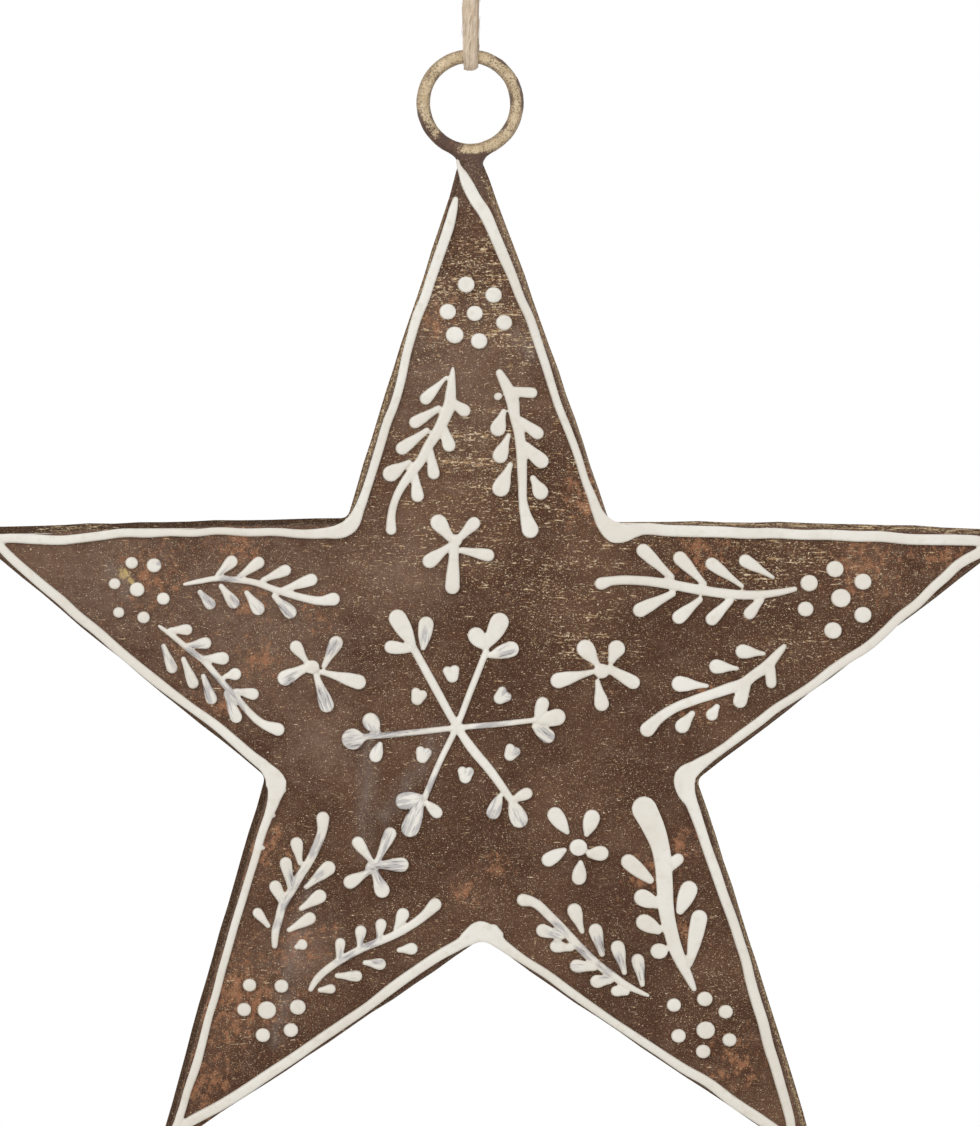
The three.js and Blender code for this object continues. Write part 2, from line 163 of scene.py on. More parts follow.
def feed(node, sockets):
    """Sets a node's sockets to values, or links them to patterns."""
    for name, source in sockets.items():
        if isinstance(source, Pattern):
            source.tree.links.new(source.socket, node.inputs[name])
        else:
            node.inputs[name].default_value = source


def add_node(tree, kind, sockets=None, output=0, **settings):
    """The pattern that a new shader node gives."""
    node = tree.nodes.new(kind)
    for key, value in settings.items():
        setattr(node, key, value)
    feed(node, sockets or {})
    return Pattern(node.outputs[output])


def arithmetic(operation):
    """A method that works a pattern with another or with a number."""

    def work(first, second):
        return add_node(first.tree, "ShaderNodeMath", {0: first, 1: second},
                        operation=operation)

    return work


class Pattern:
    """A value, colour or vector that varies over a surface, worked with as numbers are."""

    __add__ = arithmetic("ADD")
    __sub__ = arithmetic("SUBTRACT")
    __mul__ = arithmetic("MULTIPLY")
    higher = arithmetic("MAXIMUM")

    def __init__(self, socket):
        self.socket = socket
        self.tree = socket.id_data

    def __rsub__(self, number):
        return self * -1 + number

    def noise(self, scale, detail=4, roughness=0.55, stretch=None, shift=(0, 0, 0)):
        """Fractal noise from 0 to 1 over this vector, which may be scaled in each part and
        shifted first."""
        place = self
        if stretch:
            place = add_node(self.tree, "ShaderNodeMapping",
                             {"Vector": self, "Scale": stretch, "Location": shift})
        return add_node(self.tree, "ShaderNodeTexNoise", {
            "Vector": place, "Scale": scale, "Detail": detail, "Roughness": roughness,
        }, "Fac")

    def ramp(self, low, high):
        """Low..high as 0..1, clamped."""
        return add_node(self.tree, "ShaderNodeMapRange",
                        {"Value": self, "From Min": low, "From Max": high}, "Result")

    def mix(self, first, second):
        """Two colours, each a triple or a pattern, mixed by this share of the second."""
        first, second = (colour if isinstance(colour, Pattern) else paint(colour)
                         for colour in (first, second))
        return add_node(self.tree, "ShaderNodeMix", {0: self, 6: first, 7: second}, 2,
                        data_type="RGBA")

    def bump(self, distance, strength=1.0):
        """The normals of a surface that this raises by up to a distance in metres."""
        return add_node(self.tree, "ShaderNodeBump",
                        {"Height": self, "Distance": distance, "Strength": strength}, "Normal")

    def against(self, vector, operation, output="Value"):
        """This vector worked with another, by an operation of the vector maths node."""
        return add_node(self.tree, "ShaderNodeVectorMath", {0: self, 1: vector}, output,
                        operation=operation)

    def height(self):
        """The Z of this vector."""
        return add_node(self.tree, "ShaderNodeSeparateXYZ", {"Vector": self}, "Z")


def new_material(name, **settings):
    """A material with one Principled shader, its node tree, and that shader."""
    material = bpy.data.materials.new(name)
    material.use_nodes = True
    shader = material.node_tree.nodes["Principled BSDF"]
    feed(shader, {socket.replace("_", " "): value for socket, value in settings.items()})
    return material, material.node_tree, shader


def stored(tree, name, output="Fac"):
    """The pattern of an attribute that the mesh holds."""
    return add_node(tree, "ShaderNodeAttribute", output=output, attribute_name=name)


# A pattern's scale, detail and roughness, and where it has them its stretch and its shift.
JUTE_FIBRES = (4200, 6, 0.75, (1, 1, 0.12))
JUTE_BANDS = (1500, 4, 0.55, (1, 1, 0.35))


def jute_finish():
    """Jute: pale beige fibres along the strand, with painted shade in the gaps between them."""
    material, tree, shader = new_material("jute_fibre", Roughness=0.9, Specular_IOR_Level=0.15,
                                          Sheen_Weight=0.15)
    lay = stored(tree, "lay", "Vector")
    fibres = lay.noise(*JUTE_FIBRES)
    tone = lay.noise(*JUTE_BANDS).ramp(0.38, 0.64).mix(jute_mid, jute_pale)
    feed(shader, {"Base Color": fibres.ramp(0.5, 0.34).mix(tone, jute_gap_shade),
                  "Normal": fibres.bump(0.14 * MM)})
    return material


jute = jute_finish()


def clear_selection():
    """Leaves nothing selected, so that an operator acts on new work alone."""
    if bpy.context.object and bpy.context.object.mode != "OBJECT":
        bpy.ops.object.mode_set(mode="OBJECT")
    bpy.ops.object.select_all(action="DESELECT")


def add_to_selection(piece):
    piece.select_set(True)
    bpy.context.view_layer.objects.active = piece


def select_only(piece):
    clear_selection()
    add_to_selection(piece)


def apply_modifier(piece, kind, **settings):
    """Adds a modifier with its settings, and makes it part of the mesh."""
    select_only(piece)
    modifier = piece.modifiers.new(kind.lower(), kind)
    for key, value in settings.items():
        setattr(modifier, key, value)
    bpy.ops.object.modifier_apply(modifier=modifier.name)


def coordinates(piece):
    """A mesh's points as an array."""
    values = np.empty(len(piece.data.vertices) * 3)
    piece.data.vertices.foreach_get("co", values)
    return values.reshape(-1, 3)


def move_points(piece, points):
    piece.data.vertices.foreach_set("co", np.asarray(points, float).ravel())
    piece.data.update()


def store(piece, name, values):
    """Keeps a number or a vector for each point of a mesh, for its material to read."""
    kind, field = ("FLOAT", "value") if np.ndim(values) == 1 else ("FLOAT_VECTOR", "vector")
    attribute = piece.data.attributes.new(name, kind, "POINT")
    attribute.data.foreach_set(field, np.asarray(values, np.float32).ravel())


def face_outwards():
    """Turns all faces outwards, and leaves edit mode."""
    bpy.ops.mesh.select_all(action="SELECT")
    bpy.ops.mesh.normals_make_consistent(inside=False)
    bpy.ops.object.mode_set(mode="OBJECT")


def close_ends():
    """Fills the open ends of the tube in edit mode, and turns its faces outwards."""
    bpy.ops.mesh.select_all(action="DESELECT")
    bpy.ops.mesh.select_mode(type="EDGE")
    bpy.ops.mesh.select_non_manifold()
    bpy.ops.mesh.fill_holes(sides=0)
    face_outwards()


def smooth_route(points, closed):
    """A curve that passes through the points, given in millimetres."""
    clear_selection()
    bpy.ops.curve.primitive_bezier_curve_add(location=(0, 0, 0))
    route = bpy.context.object
    spline = route.data.splines[0]
    spline.bezier_points.add(len(points) - len(spline.bezier_points))
    for knot, point in zip(spline.bezier_points, points):
        knot.co = Vector(point) * MM
        knot.handle_left_type = knot.handle_right_type = "AUTO"
        knot.radius = 1
    spline.use_cyclic_u = closed
    spline.resolution_u = ROUTE_RESOLUTION
    route.data.twist_mode = "MINIMUM"
    route.data.dimensions = "3D"
    bpy.context.view_layer.update()
    return route


def spin_strand(name, points, seed, width=CORD_WIDTH, thickness=CORD_THICKNESS, closed=False):
    """A fibrous strand along a route, and its centreline: a ribbed circle drawn up with a slow
    twist, loose fibres laid on it, and all of it pressed flat and bent along the curve."""
    radius = width / 2 * MM
    draw = random.Random(seed)
    route = smooth_route(points, closed)
    length = route.data.splines[0].calc_length()
    clear_selection()
    bpy.ops.mesh.primitive_circle_add(vertices=CORD_RIBS, radius=radius, location=(0, 0, 0))
    strand = bpy.context.object
    strand.name = name
    section = coordinates(strand)
    ribs = np.array([1 - CORD_RIB_DEPTH * draw.random() for _ in section])
    move_points(strand, section * ribs[:, None])
    full_turns = 2 * math.pi / (CORD_TURN_EVERY * MM)
    steps = round(length / (CORD_STEP * MM))
    apply_modifier(strand, "SCREW", axis="Z", angle=full_turns * length, screw_offset=length,
                   steps=steps, render_steps=steps, use_smooth_shade=True)
    select_only(strand)
    bpy.ops.object.mode_set(mode="EDIT")
    bpy.ops.mesh.select_all(action="SELECT")
    bpy.ops.mesh.remove_doubles(threshold=MERGE_WITHIN * MM)
    close_ends()
    uneven = coordinates(strand)
    for point in uneven:
        place = Vector(point) / MM
        swell = 1 + LONG_SWELL * noise.noise(place * LONG_WAVES + Vector((seed, 0, 0)))
        swell += SHORT_SWELL * noise.noise(place * SHORT_WAVES)
        point[:2] *= swell
    move_points(strand, uneven)
    for _ in range(round(length / MM * FIBRES_PER_MM)):
        around = draw.uniform(0, 2 * math.pi)
        height = draw.uniform(*FIBRE_SPAN) * length
        reach = draw.uniform(*FIBRE_LENGTHS) * MM
        lean = draw.uniform(*FIBRE_LEANS)
        bed = radius * FIBRE_BED
        clear_selection()
        bpy.ops.mesh.primitive_cone_add(
            vertices=3, radius1=FIBRE_RADIUS * MM, radius2=FIBRE_TIP * MM, depth=reach,
            location=(bed * math.cos(around), bed * math.sin(around), height),
            rotation=(0, lean * draw.choice((-1, 1)), around),
        )
        add_to_selection(strand)
        bpy.ops.object.join()
    straight = coordinates(strand)
    angle = np.arctan2(straight[:, 1], straight[:, 0]) - straight[:, 2] * full_turns
    reach = np.hypot(straight[:, 0], straight[:, 1])
    store(strand, "lay",
          np.stack([reach * np.cos(angle), reach * np.sin(angle), straight[:, 2]], axis=1))
    straight[:, 1] *= thickness / width
    move_points(strand, straight)
    apply_modifier(strand, "CURVE", object=route, deform_axis="POS_Z")
    strand.data.materials.append(jute)
    drawn = route.evaluated_get(bpy.context.evaluated_depsgraph_get())
    centreline = [list(vertex.co) for vertex in drawn.to_mesh().vertices]
    drawn.to_mesh_clear()
    bpy.data.objects.remove(route)
    return strand, centreline


loop_front = [(FRONT_SHIFT, -y, z) for y, z in loop_side]
loop_back = [(BACK_SHIFT, y, z) for y, z in reversed(loop_side)]
loop_under = [
    (FRONT_SHIFT + (BACK_SHIFT - FRONT_SHIFT) * turn / 180,
     -LOOP_BEND * math.cos(math.radians(turn)),
     RING_TOP - LOOP_BEND * math.sin(math.radians(turn)))
    for turn in range(0, 181, 30)
]
jute_loop, loop_line = spin_strand("jute_loop", loop_front + loop_under + loop_back, seed=4)

eye_left = [(-x, 0, z) for x, z in eye_side]
eye_right = [(x, 0, z) for x, z in reversed(eye_side)]
jute_eye, eye_line = spin_strand("jute_eye", eye_left + [(0, 0, EYE_CREST)] + eye_right, seed=9)

# The knot is drawn tight, so its own strand is squeezed a little thinner.
KNOT_RADIUS = 2.7
KNOT_STRAND = 2.16
KNOT_POINTS = 28
knot_route = []
for step in range(KNOT_POINTS):
    turn = 4 * math.pi * step / KNOT_POINTS
    swing = 1.5 * turn
    reach = KNOT_RADIUS * (2 + math.cos(swing)) / 2
    knot_route.append((
        reach * math.cos(turn),
        -KNOT_RADIUS * math.sin(swing) / 2,
        KNOT_HEIGHT + reach * math.sin(turn),
    ))
jute_knot = spin_strand("jute_knot", knot_route, 12, KNOT_STRAND, KNOT_STRAND, closed=True)[0]


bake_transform(jute_loop)
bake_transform(jute_eye)
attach(jute_knot, "knot")
for strand, solid in ((jute_loop, "hanging_cord"), (jute_eye, "hanging_eye"),
                      (jute_knot, "cord_knot")):
    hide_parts(solid)


# Iron pans
# Two shallow pans of sheet iron, cut and folded by hand, butted along the rim and soldered. The
# patina is a dark brown, brushed across with gold that caught in the grain.
PAN_DEPTH = 5
SHEET = 0.6
SEAM_NICK = 0.12
# Corners clockwise from the top tip, tips and notches in turn, in pixels of the frame.
RIM_CORNERS = [
    (472, 130), (609.5, 522), (1023, 530), (696.8, 779.5), (818.5, 1165),
    (482, 938), (157.5, 1154), (265.3, 776.4), (-39, 527.5), (347.5, 518),
]
FACE_CORNERS = [
    (466, 143), (608, 524), (1006, 537.5), (690.5, 777), (805, 1155.5),
    (481, 934), (166, 1147), (274, 776.5), (-19, 537.5), (350, 526),
]
# How far each side bows out at its middle, in pixels, from the side that follows the top tip.
RIM_BOW = [1.8, 3, 0, 2, 1.5, 1.3, 1, 0.5, 0.8, 2]
FACE_BOW = [0.8, 1, 3, 3.5, 0.5, 3, 0, 1.5, 1.5, -3]
BACK_DRAFT = 0.05
RIM_ROUNDING = [2.6, 1.5, 1.5, 1.5, 1.5, 1.5, 1.5, 1.5, 1.5, 1.5]
FACE_ROUNDING = [1.5, 1.2, 0.5, 1.2, 0.5, 1.2, 0.5, 1.2, 0.5, 1.2]
CORNER_STEPS = 6
SIDE_STEPS = 14
SIDE_WAVER = 0.1
# Share of the way from the rim to the face, and share of the depth, up the wall and its fold.
WALL = [(0, 0.03), (0.3, 0.42), (0.6, 0.8), (0.72, 0.9), (0.84, 0.965), (0.93, 0.993), (1, 1)]
FACE_GRID = 4
FLAT_WITHIN = 0.001
# Dents, broad and small: height as a share of DENT, and waves per millimetre.
DENT = 0.12
DENT_WAVES = ((1, 1 / 17), (0.4, 3 / 17))
# From this depth to the seam a point counts as wall, above the fold's depth as face.
WALL_BELOW = 4.3
FOLD_DEPTH = 4.75
FOLD_ANGLE = math.radians(30)
# Towards the neck both faces are beaten back, from this height and by this much at the tip.
BEATEN_FROM = -80
BEATEN_TO = -67.6
BEATEN_BACK = 3.9

draw = random.Random(31)
side_waver = [[draw.uniform(-1, 1) for _ in range(SIDE_STEPS - 1)] for _ in RIM_CORNERS]


def corner_places(pixels, depth):
    """Corners as (x, z) in millimetres, from their pixels and their depth."""
    places = [seen_at(x, y, depth * MM) / MM for x, y in pixels]
    return [Vector((place.x, place.z)) for place in places]


def star_outline(corners, roundings, bows):
    """A star's outline as (x, z) points in millimetres, its corners rounded and its sides bowed
    and a little uneven, as hand shears leave them."""
    bends = []
    for i, corner in enumerate(corners):
        to_before = (corners[i - 1] - corner).normalized()
        to_after = (corners[(i + 1) % len(corners)] - corner).normalized()
        trim = roundings[i] / math.tan(to_before.angle(to_after) / 2)
        start, end = corner + to_before * trim, corner + to_after * trim
        shares = [step / CORNER_STEPS for step in range(CORNER_STEPS + 1)]
        bends.append([start * (1 - t) ** 2 + corner * 2 * t * (1 - t) + end * t * t
                      for t in shares])
    points = []
    for i, bend in enumerate(bends):
        points.extend(bend)
        side = bends[(i + 1) % len(bends)][0] - bend[-1]
        across = Vector((-side.y, side.x)).normalized()
        for step in range(1, SIDE_STEPS):
            along = step / SIDE_STEPS
            out = bows[i] * 4 * along * (1 - along) + SIDE_WAVER * side_waver[i][step - 1]
            points.append(bend[-1] + side * along + across * out)
    return points


def beaten(points):
    """Presses the points near the neck towards the seam."""
    share = np.clip((points[:, 2] / MM - BEATEN_FROM) / (BEATEN_TO - BEATEN_FROM), 0, 1)
    points[:, 1] *= 1 - share ** 2 * BEATEN_BACK / PAN_DEPTH


def rolling(place, waves):
    """Smooth random relief at a place: waves of (height, waves per millimetre)."""
    return sum(height * noise.noise(place * pace) for height, pace in waves)


def is_flat(y):
    """Whether a place lies in the plane of the star's front or back face."""
    return abs(abs(y) / MM - PAN_DEPTH) < FLAT_WITHIN


def draw_out(piece, rings):
    """Draws the one ring of points of a new piece out, ring by ring, to the given places."""
    count = len(piece.data.vertices)
    turn_of = np.arange(count)
    for ring in rings:
        bpy.ops.object.mode_set(mode="EDIT")
        bpy.ops.mesh.select_mode(type="EDGE")
        bpy.ops.mesh.extrude_edges_move()
        bpy.ops.object.mode_set(mode="OBJECT")
        points = coordinates(piece)
        older = points[-2 * count:-count]
        nearest = [int(((older - place) ** 2).sum(axis=1).argmin()) for place in points[-count:]]
        turn_of = turn_of[nearest]
        points[-count:] = ring[turn_of]
        move_points(piece, points)
    bpy.ops.object.mode_set(mode="EDIT")


def ring_at(outline, depth):
    """An outline's points in metres, at a depth in millimetres."""
    return np.array([(point.x, depth, point.y) for point in outline]) * MM


def fold_pan(name, facing):
    """One pan: the rim's outline drawn out to the face, ring by ring. Facing is -1 in front."""
    rim = corner_places(RIM_CORNERS, 0)
    face = corner_places(FACE_CORNERS, -PAN_DEPTH)
    face_bow = FACE_BOW
    if facing > 0:
        middle = sum(rim, Vector((0, 0))) / len(rim)
        face = [corner.lerp(middle, BACK_DRAFT) for corner in rim]
        face_bow = RIM_BOW
    outlines = []
    for across, _ in WALL:
        corners = [a.lerp(b, across) for a, b in zip(rim, face)]
        roundings = [a + (b - a) * across for a, b in zip(RIM_ROUNDING, FACE_ROUNDING)]
        bows = [(a + (b - a) * across) * PIXEL / MM for a, b in zip(RIM_BOW, face_bow)]
        outlines.append(star_outline(corners, roundings, bows))
    edge = outlines[0]
    nicked = []
    for i, point in enumerate(edge):
        side = edge[(i + 1) % len(edge)] - edge[i - 1]
        nicked.append(point + Vector((side.y, -side.x)).normalized() * SEAM_NICK)
    clear_selection()
    bpy.ops.mesh.primitive_circle_add(vertices=len(edge), radius=PAN_DEPTH * MM)
    pan = bpy.context.object
    pan.name = name
    move_points(pan, ring_at(nicked, 0))
    draw_out(pan, [ring_at(outline, facing * up * PAN_DEPTH)
                   for outline, (_, up) in zip(outlines, WALL)])
    bpy.ops.mesh.edge_face_add()
    bpy.ops.mesh.quads_convert_to_tris(ngon_method="BEAUTY")
    low, high = Vector(cad_box[0]) / MM, Vector(cad_box[1]) / MM
    for axis in (0, 2):
        for step in range(math.ceil((high[axis] - low[axis]) / FACE_GRID)):
            place, normal = Vector((0, 0, 0)), Vector((0, 0, 0))
            place[axis] = (low[axis] + (step + 0.5) * FACE_GRID) * MM
            normal[axis] = 1
            bpy.ops.mesh.select_all(action="DESELECT")
            bpy.ops.object.mode_set(mode="OBJECT")
            for polygon in pan.data.polygons:
                polygon.select = is_flat(polygon.center.y)
            bpy.ops.object.mode_set(mode="EDIT")
            bpy.ops.mesh.bisect(plane_co=place, plane_no=normal)
    face_outwards()
    points = coordinates(pan)
    for point in points:
        if is_flat(point[1]):
            place = Vector((point[0], facing, point[2])) / MM
            reach = min((Vector((place.x, place.z)) - one).length for one in outlines[-1])
            point[1] += rolling(place, DENT_WAVES) * DENT * MM * min(reach / FACE_GRID, 1)
    wall = (FOLD_DEPTH - np.abs(points[:, 1]) / MM) / (FOLD_DEPTH - WALL_BELOW)
    store(pan, "wall", np.clip(wall, 0, 1))
    beaten(points)
    move_points(pan, points)
    apply_modifier(pan, "SOLIDIFY", thickness=SHEET * MM, offset=-1)
    select_only(pan)
    bpy.ops.object.shade_smooth_by_angle(angle=FOLD_ANGLE)
    return pan


# Colours of the patina. The film's is partly a painted sheen, the haze is a painted sheen, the
# wall's and the shade's are painted shade, and the glint is a painted highlight.
iron_dark = (64, 43, 32)
iron_deep = (77, 51, 37)
iron_brown = (105, 77, 60)
iron_film_and_sheen = (126, 102, 87)
iron_sheen_haze = (142, 130, 124)
iron_worn = (150, 122, 99)
iron_rust = (164, 114, 83)
iron_tip = (96, 75, 65)
iron_wall_shade = (88, 68, 54)
iron_shade = (60, 45, 36)
iron_glint = (240, 219, 184)
iron_gold = (184, 148, 106)
iron_leaf = (196, 170, 112)
# Where a thin grey film lies over the brown, partly a painted sheen that lightens the top and left
# arms as if lit from the upper left, and where rust shows: (x, y, reach) in pixels.
film_and_sheen_places = [
    (450, 370, 130), (250, 610, 170), (100, 580, 150), (400, 570, 80), (320, 740, 60),
    (305, 950, 60),
]
rust_places = [
    (238, 545, 50), (860, 562, 70), (940, 552, 50), (235, 1000, 100), (205, 1085, 60),
    (440, 320, 40), (300, 940, 60), (258, 850, 60), (735, 1060, 50), (650, 880, 50), (700, 550, 50),
    (590, 500, 60), (700, 700, 40), (150, 575, 60), (190, 650, 40), (250, 600, 40), (320, 612, 30),
    (256, 660, 45), (222, 708, 45), (499, 868, 26), (465, 892, 30), (682, 845, 35), (684, 930, 35),
]
# A fleck of bright gold leaf between the dots of the left arm.
leaf_places = [(124, 573, 9), (131, 581, 6)]
# Where the gold took best in the brushed grain.
gilt_places = [(475, 300, 230), (450, 490, 170), (580, 490, 150), (590, 640, 60), (790, 590, 100)]
# Where pale grey smears are painted, down the lower left a painted sheen of reflected light and two
# small smears elsewhere; the walls that carry gold flecks, on the top arm's left edge partly a
# painted highlight; and the walls painted in shade and painted lit: two ends of a line, in pixels.
sheen_smears = [
    ((439, 730), (428, 756)), ((428, 756), (386, 815)), ((369, 742), (363, 850)),
    ((309, 896), (292, 960)), ((292, 960), (275, 1040)), ((114, 570), (128, 592)),
    ((520, 335), (528, 352)),
]
gilt_and_highlight_walls = [
    ((457, 172), (352, 508)), ((492, 190), (608, 510)), ((612, 520), (1000, 527)),
    ((702, 790), (812, 1150)), ((60, 523), (90, 522)),
]
shaded_walls = [((262, 800), (163, 1140)), ((0, 525), (340, 520))]
lit_walls = [((487, 175), (608, 510))]
SHEEN_SMEAR_REACH = 2.1
WALL_REACH = 5
# The top tip is bare round this pixel, as far as it reaches and fades.
bare_tip = (472, 150)
TIP_REACH = 5
TIP_FADE = 7
# The patterns of the patina and of its gold, written as the jute's are.
IRON_BROAD = (70, 5, 0.6)
IRON_CLOUD = (420, 7, 0.78, (0.6, 1, 1), (3, 0, 0))
IRON_BLOTCH = (600, 8, 0.8, (1.1, 1, 0.9), (7, 1, 2))
IRON_SMOKE = (900, 5, 0.7, (1, 1, 0.4))
IRON_GRAIN = (3700, 4, 0.8, (0.5, 1, 1))
GILT_STREAK = (520, 4, 0.6, (0.08, 0.3, 1))
GILT_PATCH = (110, 4, 0.55, (0.6, 1, 1), (1, 5, 9))
GILT_GRIT = (4400, 1, 0.8, (0.6, 0.6, 1), (2, 4, 6))
GILT_LINES = (3300, 2, 0.7, (0.13, 0.3, 1), (5, 3, 1))
GILT_DUST = (6500, 1, 0.7, (0.8, 0.8, 1), (4, 4, 1))
GILT_BRIGHT = (2300, 2)


def near(place, centre, reach, fade):
    """1 within a reach of a point, in metres, falling to 0 over the fade."""
    return place.against(centre, "DISTANCE").ramp(reach + fade, reach)


def highest(patterns):
    """The highest of several patterns at each place."""
    most, *others = patterns
    for other in others:
        most = most.higher(other)
    return most


def near_any(place, places, depth=PAN_DEPTH):
    """How near a point of the star is to any of the places, (x, y, reach) in pixels."""
    return highest(near(place, seen_at(x, y, -depth * MM), 0, reach * PIXEL)
                   for x, y, reach in places)


def near_line(place, ends, depth, reach):
    """How near a point of the star is to a line between two pixels, from 1 on it to 0."""
    start, end = (seen_at(x, y, -depth * MM) for x, y in ends)
    way = end - start
    off = place.against(start, "SUBTRACT", "Vector")
    along = off.against(way / way.length_squared, "DOT_PRODUCT").ramp(0, 1)
    foot = add_node(place.tree, "ShaderNodeVectorMath", {0: way, "Scale": along},
                    operation="SCALE")
    return near(off, foot, 0, reach * MM)


def near_lines(place, lines, depth=PAN_DEPTH / 2, reach=WALL_REACH):
    """How near a point is to any of the lines, which run along the walls if not said otherwise."""
    return highest(near_line(place, ends, depth, reach) for ends in lines)


def iron_finish():
    """Brown patina under a thin grey film, mottled with rust, and gold flecks that follow the
    brushing from side to side, thickest in the top arm and thinner towards the feet. Light is
    painted in too: the film is partly a painted sheen, pale smears down the lower left are a
    painted sheen, the walls carry painted shade and painted light, and the palest flecks are
    painted glints."""
    material, tree, shader = new_material("patinated_iron", Roughness=0.6)
    place = add_node(tree, "ShaderNodeTexCoord", output="Object")
    wall = stored(tree, "wall")
    tone = place.noise(*IRON_BROAD).ramp(0.42, 0.7).mix(iron_deep, iron_brown)
    # The grey film is partly a painted sheen, lighter towards the top and left arms as if lit from
    # the upper left.
    film = near_any(place, film_and_sheen_places) * 0.65 + (place.noise(*IRON_CLOUD) - 0.5) * 1.8
    tone = film.ramp(0, 1).mix(tone, iron_film_and_sheen)
    blotch = place.noise(*IRON_BLOTCH)
    rust = (blotch + near_any(place, rust_places) * 0.155).ramp(0.6, 0.69)
    tone = (rust * 0.8).mix(tone, iron_rust)
    leaf = near_any(place, leaf_places) * blotch.ramp(0.4, 0.5)
    tone = leaf.ramp(0.2, 0.5).mix(tone, iron_leaf)
    # Painted sheen: a pale grey haze along these lines, mostly the reflection of light down the
    # lower left.
    sheen_haze = near_lines(place, sheen_smears, PAN_DEPTH, SHEEN_SMEAR_REACH)
    sheen_haze = sheen_haze * place.noise(*IRON_SMOKE).ramp(0.3, 0.6)
    tone = (sheen_haze * 0.42).mix(tone, iron_sheen_haze)
    bare = near(place, seen_at(*bare_tip, 0), TIP_REACH * MM, TIP_FADE * MM)
    tone = bare.mix(tone, iron_tip)
    # Painted shade and light on the walls: darker than the face all round, darker still along the
    # shaded walls, and lighter along the lit ones.
    shaded = (near_lines(place, shaded_walls) * 3).ramp(0, 1)
    lit = (near_lines(place, lit_walls) * 3).ramp(0, 1)
    wall_shade_and_light = lit.mix(shaded.mix(iron_wall_shade, iron_shade), iron_film_and_sheen)
    tone = (wall * (0.8 - bare).ramp(0, 1)).mix(tone, wall_shade_and_light)
    grain = place.noise(*IRON_GRAIN)
    tone = (grain.ramp(0.48, 0.34) * 0.45).mix(tone, iron_dark)
    tone = (grain.ramp(0.55, 0.72) * 0.4).mix(tone, iron_worn)
    plenty = place.noise(*GILT_STREAK).ramp(0.3, 0.62) * place.noise(*GILT_PATCH).ramp(0.3, 0.55)
    plenty = plenty * (near_any(place, gilt_places) * 0.9 + 0.15) * (1 - bare)
    # Gold flecks along some walls; on the top arm's left edge they are partly a painted highlight
    # of the edge catching the light.
    plenty = plenty.higher(near_lines(place, gilt_and_highlight_walls) * wall)
    flecks = highest((
        (place.noise(*GILT_GRIT) + plenty * 0.16).ramp(0.68, 0.77),
        (place.noise(*GILT_LINES) + plenty * 0.17).ramp(0.67, 0.74),
        place.noise(*GILT_DUST).ramp(0.63, 0.71) * 0.85,
    ))
    # The palest flecks are painted glints of the gold catching the light.
    gold = place.noise(*GILT_BRIGHT).ramp(0.4, 0.6).mix(iron_gold, iron_glint)
    feed(shader, {"Base Color": (flecks * 0.9).mix(tone, gold),
                  "Specular IOR Level": (1 - wall) * 0.12,
                  "Normal": grain.bump(0.04 * MM, 0.5)})
    return material


patinated_iron = iron_finish()
front_pan = fold_pan("front_pan", -1)
back_pan = fold_pan("back_pan", 1)
for pan, solid in ((front_pan, "front_shell"), (back_pan, "back_shell")):
    pan.data.materials.append(patinated_iron)
    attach(pan, "star")
    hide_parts(solid)


# Ring
# Round wire bent to a circle and brazed to the top tip, where the brazing metal runs up both
# sides in a fillet. It is painted with gold leaf paint that has worn through in dark specks.
RING_HEIGHT = -60.75
RING_RADIUS = 7.05
WIRE_RADIUS = 1.03
# Height from the ring's centre, half width and half thickness down the neck.
NECK = [(-6.7, 4.3, 0.8), (-7.3, 3.4, 1.22), (-8.0, 2.4, 1.62), (-8.7, 1.95, 1.95),
        (-9.5, 1.9, 2.3), (-10.8, 1.9, 2.8)]
NECK_SHIFT = 0.05
RING_SEGMENTS = 96
WIRE_SIDES = 24
BRAZE_GRAIN = 0.12
BRAZE_SMOOTHING = 8
WIRE_WAVES = ((0.05, 0.6), (0.018, 2.4))
gold_paint = (198, 175, 139)
gold_pale = (229, 208, 172)
gold_dull_and_shade = (160, 136, 106)
ring_dark = (106, 86, 70)
ring_brown = (96, 75, 65)
ring_rust = (134, 100, 82)
# Where the gold is stained dark, (x, y, reach) in pixels.
ring_stains = [(521, 98, 22), (519, 84, 13), (501, 62, 15), (423, 120, 20), (434, 75, 10),
               (508, 128, 12)]
# Where it is rubbed off, (x, y) in pixels, as far as it reaches and fades, and the heights, of
# two pixels, between which it ends down the neck.
rubbed_places = [((444, 148), 1.6, 2), ((424, 134), 0, 3.2)]
neck_gilt = (470, 148)
neck_bare = (470, 157)
# The wire is painted darker towards its inner and outer edge, as painted shade of its round sides,
# between these distances from its crest.
EDGE_SHADE_FROM = 0.35
EDGE_SHADE_TO = 0.95
GOLD_CLOUD = (700, 5, 0.65)
GOLD_STAIN = (900, 6, 0.75, (1, 1, 1), (2, 2, 2))
GOLD_GRIT = (3900, 2, 0.8)


def neck_section(circle, height, wide, thick):
    """A round section of the neck, pressed to its width and thickness."""
    centre = np.array((NECK_SHIFT, 0, RING_HEIGHT + height)) * MM
    return circle * (wide, thick, 0) + centre


